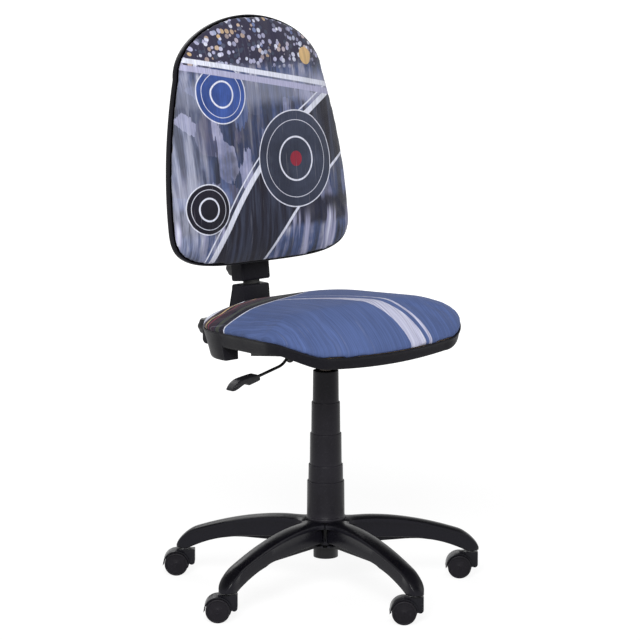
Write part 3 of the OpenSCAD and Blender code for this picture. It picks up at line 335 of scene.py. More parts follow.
class Paint:
    """One material: its tree, its coordinates and its main shader."""

    def __init__(self, name):
        self.material = bpy.data.materials.new(name)
        self.material.use_nodes = True
        self.tree = self.material.node_tree
        self.shader = self.tree.nodes["Principled BSDF"]
        self.place = self.add("TexCoord").outputs["Object"]
        split = self.add("SeparateXYZ", (0, self.place))
        self.x, self.y, self.z = (Wire(self.tree, split.outputs[i]) for i in range(3))

    def add(self, kind, *inputs):
        return shader_node(self.tree, kind, *inputs)

    def at(self, x, y, z):
        """A vector from three wires or numbers."""
        return self.add("CombineXYZ", (0, x), (1, y), (2, z)).outputs[0]

    def noise(self, scale, detail=2.0, rough=0.5, place=None):
        node = self.add("TexNoise", ("Scale", scale), ("Detail", detail), ("Roughness", rough),
                        ("Vector", place or self.place))
        return Wire(self.tree, node.outputs["Fac"])

    def cells(self, scale, place, output="Distance"):
        node = self.add("TexVoronoi", ("Scale", scale), ("Vector", place))
        return Wire(self.tree, node.outputs[output])

    def blend(self, amount, under, over):
        """A colour that goes from under to over; both are colours or sockets."""
        node = self.add("Mix")
        node.data_type = "RGBA"
        node.clamp_factor = True
        for i, value in ((0, amount), (6, under), (7, over)):
            feed(self.tree, node.inputs[i], value)
        return node.outputs[2]

    def ramp(self, value, stops):
        """A colour from a wire by (position, colour) stops."""
        node = self.add("ValToRGB", (0, value))
        marks = node.color_ramp.elements
        while len(marks) < len(stops):
            marks.new(0.5)
        for mark, (position, colour) in zip(marks, stops):
            mark.position = position
            mark.color = (*colour, 1)
        return node.outputs[0]

    def bump(self, height, distance, strength):
        return self.add("Bump", ("Distance", distance), ("Strength", strength),
                        ("Height", height)).outputs[0]

    def pointed(self):
        """High on outer edges, half on flat faces."""
        return Wire(self.tree, self.add("NewGeometry").outputs["Pointiness"])

    def upright(self):
        """1 on upright faces, 0 on faces that look up or down."""
        node = self.add("SeparateXYZ", (0, self.add("TexCoord").outputs["Normal"]))
        return abs(Wire(self.tree, node.outputs["Z"])).step(0.2, 0.55, 1, 0)

    def finish(self, colour, rough, normal, **plain):
        """Sets the shader; plain values go on the sockets that they are named after."""
        for name, value in (("Base Color", colour), ("Roughness", rough), ("Normal", normal)):
            feed(self.tree, self.shader.inputs[name], value)
        for name, value in plain.items():
            socket = name.replace("_", " ").title().replace("Ior", "IOR")
            self.shader.inputs[socket].default_value = value
        return self.material


def grained_plastic(name, colour, rough, grain, depth, strength, wear=0.35, shine=0.12,
                    panel=None):
    """Moulded plastic with an eroded grain, cloudy gloss and paler edges, partly rubbed wear and
    partly a painted highlight.

    A panel colour goes on upright faces as painted light: they are painted paler than the faces
    that look up or down.
    """
    p = Paint(name)
    grit = p.noise(grain, 3, 0.6)
    cloud = p.noise(14, 3)
    fine = p.noise(grain * 0.35, 2)
    # paler edges by pointiness: partly rubbed wear, partly a painted highlight
    edge = p.pointed().step(0.52, 0.6, 0, wear)
    paler = tuple(min(1, c * 2.1 + 0.01) for c in colour)
    darker = tuple(c * 0.72 for c in colour)
    base = p.blend(cloud.step(0.3, 0.7), darker, colour)
    # painted light: upright faces are painted in the paler panel colour
    if panel:
        base = p.blend(p.upright(), base, panel)
    base = p.blend(fine.step(0.55, 0.75, 0, 0.3), base, paler)
    base = p.blend(edge, base, paler)
    gloss = cloud.step(0.25, 0.75, rough - 0.05, rough + 0.07) + grit.step(0.3, 0.7, -0.04, 0.05)
    return p.finish(base, gloss, p.bump(grit, depth, strength), specular_ior_level=shine)


def coated_steel(name, colour, rough):
    """Powder coat: a low orange-peel under fine grain."""
    p = Paint(name)
    peel = p.noise(320, 2)
    speck = p.noise(1500, 1)
    cloud = p.noise(9, 3)
    # paler edges by pointiness: partly wear, partly a painted highlight
    edge = p.pointed().step(0.53, 0.62, 0, 0.45)
    base = p.blend(cloud.step(0.3, 0.7), tuple(c * 0.8 for c in colour), colour)
    base = p.blend(edge, base, tuple(c * 2.4 + 0.01 for c in colour))
    rough_map = speck.step(0.3, 0.7, rough - 0.05, rough + 0.06)
    return p.finish(base, rough_map, p.bump(peel, 0.0001, 0.35), specular_ior_level=0.25)


def bare_steel(name, colour, rough, brushed=True):
    """Bare or chromed steel with fine marks across the turning axis and a few smudges."""
    p = Paint(name)
    marks = p.noise(1, 3, 0.6, p.at(p.x * 60, p.y * 60, p.z * (2600 if brushed else 400)))
    smudge = p.noise(22, 3)
    base = p.blend(smudge.step(0.35, 0.7, 0, 0.5), colour, tuple(c * 0.78 for c in colour))
    gloss = smudge.step(0.3, 0.75, rough, rough + 0.1) + marks.step(0.3, 0.7, -0.02, 0.04)
    return p.finish(base, gloss, p.bump(marks, 0.00002, 0.25 if brushed else 0.06), metallic=1.0)


def plywood(name):
    """Bare ply: long grain on the faces and thin glued layers on the edges."""
    p = Paint(name)
    grain = p.noise(1, 4, 0.6, p.at(p.x * 14, p.y * 220, p.z * 220))
    layer = ((p.z + p.y * 0.12) * 2900).sine()
    base = p.ramp(grain, [(0.25, (0.36, 0.24, 0.13)), (0.5, (0.55, 0.4, 0.24)),
                          (0.8, (0.66, 0.52, 0.34))])
    base = p.blend(layer.step(0.2, 0.9, 0, 0.25), base, (0.28, 0.18, 0.09))
    return p.finish(base, grain.step(0.3, 0.7, 0.62, 0.75), p.bump(grain, 0.0002, 0.4))


# Printed covers. The print is a plain design of discs, arcs, chevrons and brushed stripes.

INK = (0.012, 0.011, 0.02)
PLUM = (0.035, 0.018, 0.03)
OLIVE = (0.05, 0.055, 0.045)
SLATE = (0.05, 0.06, 0.1)
BLUE_GREY = (0.092, 0.138, 0.32)
BLUE = (0.06, 0.12, 0.42)
LILAC = (0.42, 0.42, 0.6)
PALE = (0.72, 0.74, 0.86)
TAN = (0.62, 0.42, 0.2)
MAROON = (0.26, 0.02, 0.04)
THREAD_PITCH = 0.0011


def cloth_finish(p, colour, across, along, sheen=0.25):
    """Woven cover: fine crossing threads, a soft slub along the warp and a low sheen."""
    thread = 2 * pi / THREAD_PITCH
    warp, weft = (across * thread).sine(), (along * thread).sine()
    weave = warp * weft
    slub = p.noise(1, 2, 0.5, p.at(across * 420, along * 9, 0.0))
    fuzz = p.noise(900, 2)
    shade = weave.step(-0.8, 0.8, 0.0, 0.1) + slub.step(0.3, 0.7, 0.0, 0.26)
    colour = p.blend(shade, colour, INK)
    colour = p.blend(slub.step(0.62, 0.8, 0, 0.16), colour, PALE)
    height = weave * 0.5 + slub * 0.9 + fuzz * 0.4
    rough = slub.step(0.3, 0.7, 0.78, 0.9)
    return p.finish(colour, rough, p.bump(height, 0.00018, 0.5), sheen_weight=sheen,
                    sheen_roughness=0.45, specular_ior_level=0.12)


def distance(u, v, centre):
    du, dv = u - centre[0], v - centre[1]
    return (du * du + dv * dv).root()


def band(value, start, end, soft=0.0006):
    """1 between start and end, 0 outside."""
    return value.step(start - soft, start + soft) * value.step(end - soft, end + soft, 1, 0)


def seat_print():
    p = Paint("seat cover")
    u, v = p.x, p.y
    drift = p.noise(7, 3)
    brush = p.noise(1, 3, 0.55, p.at(u * 85, v * 5, 0.0))
    colour = p.blend(drift.step(0.3, 0.7), BLUE_GREY, tuple(c * 0.82 for c in BLUE_GREY))
    colour = p.blend(brush.step(0.45, 0.8, 0, 0.45), colour, tuple(c * 1.45 for c in BLUE_GREY))
    # two pale sweeps from the front edge, narrowing to the rear
    streaks = p.noise(1, 2, 0.6, p.at(u * 300, v * 6, 0.0))
    for centre, r, front in (((-0.31, -0.27), 0.385, 0.021), ((-0.31, -0.27), 0.42, 0.004)):
        half = v.step(-0.2, 0.09, front, 0.0006)
        offset = abs(distance(u, v, centre) - r)
        colour = p.blend((half - offset).step(-0.0005, 0.0005), colour,
                         p.blend(streaks.step(0.35, 0.7), LILAC, PALE))
    # nested arcs round the rear left corner
    rim = distance(u, v, (-0.15, 0.36))
    for start, end, tone in ((0.317, 0.3205, PALE), (0.302, 0.317, INK), (0.29, 0.302, OLIVE),
                             (0.285, 0.29, INK), (0.262, 0.285, PLUM), (0.258, 0.262, MAROON),
                             (0.248, 0.258, INK), (0.243, 0.248, TAN), (0.225, 0.243, PLUM),
                             (0.205, 0.225, PALE), (-0.1, 0.205, BLUE)):
        colour = p.blend(band(rim, start, end), colour, tone)
    return cloth_finish(p, colour, u, v, sheen=0.06)


def back_print():
    p = Paint("back cover")
    u, v = p.x, p.z - BACK_MID_Z * MM
    brush = p.noise(1, 4, 0.6, p.at(u * 60, v * 5, 0.0))
    wash = p.noise(11, 4, 0.6)
    colour = p.ramp(brush * 0.6 + wash * 0.4, [
        (0.33, INK), (0.43, SLATE), (0.5, tuple(c * 0.75 for c in BLUE_GREY)),
        (0.57, (0.24, 0.25, 0.36)), (0.66, PALE)])
    # loose brushed patches over the middle
    dabs = p.cells(1, p.at(u * 30 + brush * 2.2, v * 17 + u * 5, 0.0), "Color")
    middle = band(v, -0.15, 0.115, 0.03)
    tones = p.ramp(dabs, [(0.3, INK), (0.4, SLATE), (0.48, INK), (0.54, BLUE_GREY),
                          (0.6, (0.2, 0.21, 0.31)), (0.68, PLUM), (0.76, LILAC)])
    colour = p.blend(middle * wash.step(0.35, 0.6, 0.2, 0.7), colour, tones)
    # a dark brushed band over the foot
    low = v + brush * 0.03
    colour = p.blend(band(low, -0.165, -0.112, 0.008) * 0.85, colour, INK)
    # a paler wash along the left edge and under the head
    edge = (u + wash * 0.06).step(-0.11, -0.16)
    under = band(v + wash * 0.03, 0.085, 0.14, 0.015) * 0.35
    washed = (edge * brush.step(0.4, 0.62, 0.15, 0.75)).most(under)
    colour = p.blend(washed, colour, (0.42, 0.44, 0.56))
    # pale brushed stripes over the foot
    foot = v.step(-0.14, -0.175)
    stripe = p.noise(1, 3, 0.5, p.at(u * 38, v * 2.5, 3.0))
    colour = p.blend(foot * stripe.step(0.5, 0.6), colour, LILAC)
    colour = p.blend(foot * stripe.step(0.6, 0.66), colour, PALE)
    # a broad dark sweep with pale edges
    sweep = distance(u, v, (0.42, -0.5))
    colour = p.blend(band(sweep, 0.5, 0.62), colour, p.blend(brush.step(0.4, 0.7), INK, SLATE))
    for start, end in ((0.494, 0.5), (0.62, 0.632), (0.64, 0.643)):
        colour = p.blend(band(sweep, start, end), colour, PALE)
    # chevrons along the sweep
    slant = abs(sweep - 0.56) * 1.2 + (v + 0.5)
    for i in range(3):
        start = 0.62 + 0.05 * i
        chevron = band(slant, start, start + 0.016) * band(sweep, 0.52, 0.6)
        colour = p.blend(chevron, colour, BLUE_GREY)
    # discs with pale rings
    for centre, r, tone in (((0.075, -0.045), 0.098, SLATE), ((-0.105, 0.095), 0.058, BLUE),
                            ((-0.16, -0.13), 0.05, INK)):
        away = distance(u, v, centre)
        colour = p.blend(away.step(r - 0.0008, r + 0.0008, 1, 0), colour,
                         p.blend(wash.step(0.3, 0.7), tone, tuple(c * 0.5 for c in tone)))
        for share, w in ((1.0, 0.0022), (0.8, 0.0012), (0.45, 0.0035)):
            colour = p.blend(band(away, r * share - w / 2, r * share + w / 2), colour, PALE)
    # confetti over the head
    spots = p.cells(95, p.at(u, v, 0.0))
    shades = p.cells(95, p.at(u, v, 0.0), "Color")
    head = v.step(0.13, 0.16)
    confetti = p.ramp(shades, [(0.3, SLATE), (0.42, LILAC), (0.5, PALE), (0.58, BLUE_GREY),
                               (0.66, TAN), (0.75, LILAC)])
    colour = p.blend(head, colour, (0.035, 0.032, 0.06))
    colour = p.blend(head * spots.step(0.42, 0.5, 1, 0), colour, confetti)
    # two sloping bands below it
    for start, end, tone in ((0.128, 0.138, PALE), (0.112, 0.124, LILAC)):
        colour = p.blend(band(v + u * 0.18, start, end), colour, tone)
    # two small accents
    colour = p.blend(distance(u, v, (0.13, 0.16)).step(0.017, 0.018, 1, 0), colour, TAN)
    colour = p.blend(distance(u, v, (0.075, -0.045)).step(0.015, 0.016, 1, 0), colour, MAROON)
    return cloth_finish(p, colour, u, v)


# the base's panel colour is painted light, making its upright webs paler than its caps
base_plastic = grained_plastic("base plastic", (0.0032, 0.003, 0.005), 0.28, 900, 0.00006, 0.5,
                               wear=0.7, shine=0.14, panel=(0.0078, 0.0074, 0.011))
cover_plastic = grained_plastic("cover plastic", (0.0125, 0.0115, 0.0155), 0.34, 900, 0.0001, 0.7,
                                shine=0.14)
grip_plastic = grained_plastic("grip plastic", (0.008, 0.008, 0.01), 0.32, 1100, 0.00003, 0.35,
                               shine=0.25)
shell_plastic = grained_plastic("shell plastic", (0.0068, 0.0065, 0.0095), 0.42, 700, 0.00012, 0.7,
                                shine=0.09)
bracket_plastic = grained_plastic("bracket plastic", (0.0085, 0.0082, 0.0112), 0.42, 700, 0.00012,
                                  0.7, shine=0.06)
hood_plastic = grained_plastic("hood plastic", (0.006, 0.0058, 0.0088), 0.3, 1100, 0.00003, 0.3,
                               shine=0.15)
wheel_plastic = grained_plastic("wheel plastic", (0.0098, 0.0088, 0.0118), 0.42, 800, 0.0001, 0.7,
                                wear=0.8)
black_steel = coated_steel("black steel", (0.006, 0.006, 0.007), 0.42)
screw_steel = coated_steel("screw steel", (0.03, 0.03, 0.032), 0.35)
plain_steel = bare_steel("plain steel", (0.5, 0.5, 0.51), 0.3)
castor_steel = bare_steel("castor steel", (0.48, 0.48, 0.5), 0.32)
# the gas lift's metal is darkened, partly for the black finish of its tube and partly as a painted
# dark reflection of the plate and covers round it
dark_chrome = bare_steel("dark chrome", (0.1, 0.085, 0.075), 0.14, brushed=False)
board = plywood("board")
seat_fabric = seat_print()
back_fabric = back_print()


# Soft covers

VOXEL = 6
HELD_SHARE = 0.3


def swell(obj, held, pressure=4.0, most=5.0, frames=20):
    """Fills a cover from inside by simulation; no point moves more than most millimetres."""
    rest = [v.co.copy() for v in obj.data.vertices]
    group = obj.vertex_groups.new(name="held")
    group.add([i for i, co in enumerate(rest) if held(co)], 1.0, "REPLACE")
    cloth = obj.modifiers.new("cloth", "CLOTH")
    cloth.settings.quality = 5
    cloth.settings.mass = 0.3
    cloth.settings.tension_stiffness = 15
    cloth.settings.compression_stiffness = 15
    cloth.settings.bending_stiffness = 0.6
    cloth.settings.use_pressure = True
    cloth.settings.uniform_pressure_force = pressure
    cloth.settings.vertex_group_mass = "held"
    cloth.settings.effector_weights.gravity = 0
    cloth.collision_settings.use_collision = False
    scene = bpy.context.scene
    for f in range(1, frames + 1):
        scene.frame_set(f)
    swollen = obj.evaluated_get(bpy.context.evaluated_depsgraph_get())
    ends = [v.co.copy() for v in swollen.data.vertices]
    scene.frame_set(1)
    obj.modifiers.remove(cloth)
    for v, start, end in zip(obj.data.vertices, rest, ends):
        move = end - start
        if move.length > most * MM:
            move *= most * MM / move.length
        v.co = start + move


def cushion(name, rings, place, body, material, slot, node, held):
    """A foam pad in its cover: a closed form, remeshed evenly, swollen and subdivided."""
    points, faces = skin(rings, ends="fan")
    obj = piece(name, points, faces, body, material, slot, [node], place, sharp=None)
    remesh = obj.modifiers.new("even", "REMESH")
    remesh.mode = "VOXEL"
    remesh.voxel_size = VOXEL * MM
    apply_modifiers(obj)
    obj.data.materials.clear()
    obj.data.materials.append(material)
    free = obj.vertex_groups.new(name="free")
    for v in obj.data.vertices:
        free.add([v.index], HELD_SHARE if held(v.co) else 1.0, "REPLACE")
    swell(obj, held)
    ease_out = obj.modifiers.new("even out", "SMOOTH")
    ease_out.vertex_group = "free"
    ease_out.factor = 0.5
    ease_out.iterations = 4
    finer = obj.modifiers.new("finer", "SUBSURF")
    finer.levels = finer.render_levels = 1
    obj.data.shade_smooth()


def seat_drop(y):
    return SEAT_DROP * part((-y - SEAT_FRONT_Y + SEAT_DROP_L) / SEAT_DROP_L) ** 2


NOTCH = SLEEVE_W / 2 + 10


def seat_half(d, fine=4):
    """Right half of the seat's plan, moved in by d, from the front's middle to the rear's."""
    fx = SEAT_FRONT_W / 2 - SEAT_FRONT_R
    fy = SEAT_FRONT_Y - SEAT_BOW - SEAT_FRONT_R
    rx = SEAT_REAR_W / 2 - SEAT_REAR_R
    ry = SEAT_REAR_Y - SEAT_REAR_R
    n = 5 * fine
    front = [(fx * i / n, d - SEAT_FRONT_Y + SEAT_BOW * (i / n) ** 2) for i in range(n)]
    side = [(mix(SEAT_FRONT_W, SEAT_REAR_W, t) / 2 - d, mix(-fy, ry, t))
            for t in [0.99 * i / n for i in range(1, n + 1)]]
    rear = SEAT_REAR_Y - d
    return (front + arc((fx, -fy), SEAT_FRONT_R - d, -90, 0, 6 * fine) + side
            + arc((rx, ry), SEAT_REAR_R - d, 0, 90, 8 * fine)
            + [(NOTCH + 12, rear), (NOTCH + 1, rear), (NOTCH, rear), (NOTCH / 2, rear), (0, rear)])


def seat_ring(d, z, share=1.0):
    return [(x * share, y * share, z - seat_drop(y * share)) for x, y in mirrored(seat_half(d))]


SEAT_EDGE = [(1.0, 0.2), (-0.2, 3), (-0.6, 7.5), (-0.3, 12), (1.5, 16.5), (5.5, 20), (13.5, 24.5),
             (27, 29)]
SEAT_FOOT = (3.6, -5)
SEAT_HELD_BELOW = 9
BACK_FOOT = (8, 6.5)
BACK_HELD_BEHIND = -2
CROWN_POWER = 3.1
CROWN_RINGS = 12
FLAT_SHARES = (0.3, 0.6, 0.85)
SWELL_ROOM = 2.5   # left under the crown for the swelling


def pad_rings(ring, foot, edge, crown):
    """Rings of a pad from its flat foot over its edge to the middle of its crown."""
    rings = [ring(*foot, s) for s in (*FLAT_SHARES, 1)] + [ring(*e) for e in edge]
    d, end = edge[-1]
    for i in range(1, CROWN_RINGS):
        share = 1 - i / CROWN_RINGS
        rings.append(ring(d, mix(end, crown, 1 - share ** CROWN_POWER), share))
    return rings


def make_seat_cushion():
    rings = pad_rings(seat_ring, SEAT_FOOT, SEAT_EDGE, SEAT_CROWN - SWELL_ROOM)
    slope = sin(radians(SEAT_TILT))

    def held(co):
        above = co.z / MM - SEAT_RIM + co.y / MM * slope + seat_drop(co.y / MM)
        return above < SEAT_HELD_BELOW
    cushion("seat_pad", rings, seat_space, "seat", seat_fabric, "seat_fabric", "seat_cushion",
            held)


def curve(a, power):
    return max(0.0, a) ** (2 / power)


def back_half(d, fine=4):
    """Right half of the backrest's outline (x, z), moved in by d, from the top to the bottom."""
    n, m, k = 9 * fine, 3 * fine, 8 * fine
    dome = [((BACK_SHOULDER_W / 2 - d) * curve(cos(a), 1.92),
             BACK_SHOULDER + (BACK_TOP - BACK_SHOULDER - d) * curve(sin(a), 1.92))
            for a in [radians(90 - 90 * i / n) for i in range(n + 1)]]
    flank = [(mix(BACK_SHOULDER_W, BACK_W, t) / 2 + 4 * FLANK_BOW * t * (1 - t) - d,
              mix(BACK_SHOULDER, -BACK_WIDE, t)) for t in [i / (m + 1) for i in range(1, m + 1)]]
    foot = [((BACK_W / 2 - d) * curve(cos(a), 3.9),
             -BACK_WIDE - (BACK_BOTTOM - BACK_WIDE - d) * curve(sin(a), 3.9))
            for a in [radians(90 * i / k) for i in range(k + 1)]]
    dome[0], foot[-1] = (0, dome[0][1]), (0, foot[-1][1])
    return dome + flank + foot


def back_ring(d, y, share=1.0):
    return [(x * share, y, z * share) for x, z in mirrored(back_half(d))]


BACK_EDGE = [(4, 3.2), (2.6, 0), (4.2, -3.6), (8, -8), (15.5, -12.8), (27.5, -16.8), (46, -19.6)]


def make_back_cushion():
    rings = pad_rings(back_ring, BACK_FOOT, BACK_EDGE, SWELL_ROOM - BACK_CROWN)
    slope = tan(radians(BACK_RECLINE))

    def held(co):
        behind = co.y / MM - BACK_MID_Y - (co.z / MM - BACK_MID_Z) * slope
        return behind > BACK_HELD_BEHIND
    cushion("back_pad", rings, back_space, "backrest", back_fabric, "back_fabric", "back_cushion",
            held)


make_seat_cushion()
make_back_cushion()


# Shells behind the covers

BOARD_UNDER = -15.8
FLOOR_TOP = BOARD_UNDER - 0.3
FLOOR_UNDER = FLOOR_TOP - SHELL_WALL
RIM_W = 3
EDGE_R = 5
HOLE_W_SHARE = 0.56
HOLE_L_SHARE = 0.68
HOLE_SHIFT = 14


def make_seat_shell():
    plan, inner = mirrored(seat_half(0)), mirrored(seat_half(SEAT_FRONT_R / 2))
    start_y = SEAT_REAR_Y - SEAT_REAR_R
    sections = []
    for p, q in zip(plan, inner):
        skirt = p[1] >= start_y - 0.05 and abs(p[0]) > NOTCH + 0.5
        low_side = mix(SHELL_FRONT_H, SHELL_SIDE_H, ease((p[1] + SEAT_FRONT_Y - 70) / 60))
        h = SKIRT_H if skirt else low_side
        w = SKIRT_W if skirt else 6
        way = ((q[0] - p[0]) / SEAT_FRONT_R * 2, (q[1] - p[1]) / SEAT_FRONT_R * 2)
        lean, low = h * 0.23, -seat_drop(p[1])
        path = [(0, 0), (-0.7, -0.8), (-0.7, -3), (0.1, -4)]
        path += [(lean * t, -h * t) for t in (0.3, 0.6, 1 - EDGE_R / h)]
        path += [(lean + 0.3, -h + 1.4), (lean + 1.4, -h + 0.2), (lean + 3.5, -h),
                 (lean + w - 1, -h), (lean + w, -h + 1), (lean + w, FLOOR_UNDER)]
        back = [(lean + w - SHELL_WALL, FLOOR_TOP), (lean + w - SHELL_WALL, SHELL_WALL - h),
                (lean + SHELL_WALL, SHELL_WALL - h), (RIM_W, -1), (RIM_W - 0.8, 0)]
        hole = (p[0] * HOLE_W_SHARE, p[1] * HOLE_L_SHARE + HOLE_SHIFT)
        floor = [(*hole, z - seat_drop(hole[1])) for z in (FLOOR_UNDER, FLOOR_TOP)]
        outer, inside = ([(p[0] + way[0] * s, p[1] + way[1] * s, low + z) for s, z in line]
                         for line in (path, back))
        sections.append(outer + floor + inside)
    points, faces = skin(sections, closed=True)
    piece("seat_pan", points, faces, "seat", shell_plastic, "seat_shell_plastic", ["seat_shell"],
          seat_space, sharp=30)


SHELL_OUT = [(0.4, 4.5), (-0.1, 6), (0.1, 9), (0, 13), (0.7, 15.8), (2.5, 18), (5.8, 20.6),
             (10, 22.5), (20, 24.4), (40, 26)]


def make_back_shell():
    d, top = SHELL_OUT[-1]
    shares = (0.8, 0.65, 0.5, 0.3, 0.15)
    outer = [back_ring(*e) for e in SHELL_OUT]
    outer += [back_ring(d, mix(BACK_SHELL_D, top, s), s) for s in shares]
    inner = [back_ring(d, mix(BACK_SHELL_D, top, s) - BACK_WALL, s) for s in shares[::-1]]
    inner += [back_ring(e[0] + BACK_WALL, e[1] - BACK_WALL * i / 9)
              for i, e in reversed(list(enumerate(SHELL_OUT))) if i]
    inner += [back_ring(0.4 + BACK_WALL, 5.2), back_ring(0.4 + BACK_WALL - 0.7, 4.5)]
    points, faces = skin(inner + outer, ends="fan")
    piece("back_shell_panel", points, faces, "backrest", shell_plastic, "back_shell_plastic",
          ["back_shell"], back_space, sharp=32)


make_seat_shell()
make_back_shell()


# Star base

ARM_ROOT_R = 28.5
ARM_FALL = 51
ARM_LEVEL_R = 79
ARM_BELLY_Z = 92
ARM_FOOT_Z = 57.5
ARM_ROOT_W = 42
ARM_TIP_W = 33
ARM_NOSE = ARM_TIP_W / 2 + 3.5
ARM_TIP_R = CASTOR_CIRCLE + ARM_NOSE
ARM_NOSE_R = CASTOR_CIRCLE - 25
BELLY_R = CASTOR_CIRCLE * 0.62
CAVITY_END_R = CASTOR_CIRCLE - 22
CAP_H = 9
CAP_DROP = 5.5
CORE_H = 9.5
CORE_END_R = 207
BASE_WALL = 3.5
CROTCH_R = 26
POST_CIRCLE = 37
BOSS_R, BOSS_H = 8.5, 19.5
STEM_BORE_R, STEM_BORE_H = 5.55, 18.3
LIFT_BORE_R = 25.05
RECESS_R = 41.5
HALF_PITCH = radians(36)


def arm_crest(r):
    return CREST - ARM_FALL * (max(0, r - ARM_LEVEL_R) / (CASTOR_CIRCLE - ARM_LEVEL_R)) ** 1.765


def arm_belly(r):
    return mix(ARM_BELLY_Z, ARM_FOOT_Z, part((r - BELLY_R) / (CASTOR_CIRCLE - 7 - BELLY_R)) ** 1.7)


def arm_half_w(r):
    w = mix(ARM_ROOT_W, ARM_TIP_W, part(r / CASTOR_CIRCLE)) / 2
    return w * (1 - part((r - CASTOR_CIRCLE) / ARM_NOSE) ** 2.4) ** (1 / 2.4)


def cap_half_w(r):
    """Half width of an arm's cap, which meets its neighbours near the hub in a round crotch."""
    w = arm_half_w(r)
    centre = (ARM_ROOT_W / 2 + CROTCH_R - 1) / sin(HALF_PITCH)
    along = centre * cos(HALF_PITCH)
    if r >= along:
        return w
    across = centre * sin(HALF_PITCH)
    spread = across - sqrt(max(0, CROTCH_R ** 2 - (along - r) ** 2))
    return max(w, min(spread, r * tan(HALF_PITCH) + 0.05))


def arm_ring(r):
    """Section of an arm: a low domed cap, a flat web and, near the hub, a core set back from it."""
    foot, w, cw = arm_belly(r), arm_half_w(r), cap_half_w(r)
    nose = sqrt(1 - part((r - ARM_NOSE_R) / (ARM_TIP_R - ARM_NOSE_R)) ** 2)
    top = mix(ARM_FOOT_Z, arm_crest(r), nose)
    h = top - foot
    dome = min(CAP_DROP, h * 0.45)
    edge = top - dome
    web = mix(0.94, 1.0, ease((r - CASTOR_CIRCLE + 20) / 22))
    core_h = min(CORE_H * part((CORE_END_R - r) / 100) ** 0.8, h * 0.4)
    core = mix(web, 0.38, part(core_h / 4))
    inside = max(w * 0.2, w * core - BASE_WALL)
    room = part((CAVITY_END_R - r) / (CAP_H * 2))
    roof = mix(foot + 1, top - BASE_WALL, room)
    half = [(cw * i / 8, top - dome * (i / 8) ** 2.2) for i in range(8)]
    half += [(cw - 1.1 * nose, edge + 0.1 * dome), (cw - 0.3 * nose, edge - 0.05 * h * nose),
             (cw, edge - 0.08 * h), (mix(w * web, cw, 0.9), mix(edge, foot, 0.16)),
             (w * web, mix(edge, foot, 0.2))]
    low = foot + core_h
    half += [(w * web * 0.99, mix(edge, low, 0.6)), (w * web, mix(edge, low, 0.93)),
             (w * web - 0.4, mix(edge, low, 0.985)), (w * web - 1.2, low),
             (w * core - 0.2, low - 0.01 * h), (w * core - 0.4, mix(low, foot, 0.9) - 0.01 * h),
             (w * core - 0.6, foot - 0.02 * h),
             (inside, foot - 0.02 * h), (inside * 0.96, roof), (0, roof)]
    return [(r, x, z) for x, z in mirrored(half)]


def out_from_column(shape, r, turn):
    """A shape moved out from the column by r, in a direction in degrees."""
    a = radians(turn)
    return moved(shape, lambda p: (p[0] + r * cos(a), p[1] + r * sin(a), p[2]))


def make_star_base():
    stations = [mix(ARM_ROOT_R, 70, i / 14) for i in range(14)]
    stations += [mix(70, ARM_NOSE_R, i / 24) for i in range(24)]
    stations += [mix(ARM_NOSE_R, ARM_TIP_R, sin(radians(88 * i / 14))) for i in range(15)]
    rings = [arm_ring(r) for r in stations]
    arms = []
    for i in range(5):
        a = radians(FIRST_ARM + 72 * i)
        turned = [[(x * cos(a) - y * sin(a), x * sin(a) + y * cos(a), z) for x, y, z in ring]
                  for ring in rings]
        arms.append(skin(turned, ends="fan"))
    top = CREST - HUB_RECESS
    hub_r = HUB_D / 2
    hub = spin([(0, HUB_FOOT), (hub_r + 3, HUB_FOOT), (hub_r + 4, HUB_FOOT + 1),
                (hub_r + 4, HUB_FOOT + 4), (hub_r + 3, HUB_FOOT + 5), (hub_r, HUB_FOOT + 5.5),
                (hub_r, top - 17.5), (hub_r + 3, top - 12), (hub_r + 11, top - 4),
                (hub_r + 11, top - 1), (hub_r + 10, top), (0, top)])
    post = spin([(0, HUB_FOOT + 1), (4.2, HUB_FOOT + 1), (7.6, top - 9), (7.9, top - 6),
                 (0, top - 6)], 24)
    boss = cylinder(BOSS_R, ARM_FOOT_Z, ARM_FOOT_Z + BOSS_H)
    bore = cylinder(STEM_BORE_R, ARM_FOOT_Z - 2, ARM_FOOT_Z + STEM_BORE_H)
    adds = arms[1:] + [hub]
    cuts = [cylinder(LIFT_BORE_R, 60, 150, 64), cylinder(RECESS_R, top, top + 12, 64)]
    for i in range(5):
        turn = FIRST_ARM + 72 * i
        adds += [out_from_column(post, POST_CIRCLE, turn + 36),
                 out_from_column(boss, CASTOR_CIRCLE, turn)]
        cuts.append(out_from_column(bore, CASTOR_CIRCLE, turn))
    obj = piece("base_star", *arms[0], "base", base_plastic, "base_plastic", ["star_base"])
    combine(obj, adds, "UNION")
    combine(obj, cuts, "DIFFERENCE")
    obj.data.shade_smooth()
    obj.data.set_sharp_from_angle(angle=radians(34))


make_star_base()


# Column: five telescopic sections over the gas lift

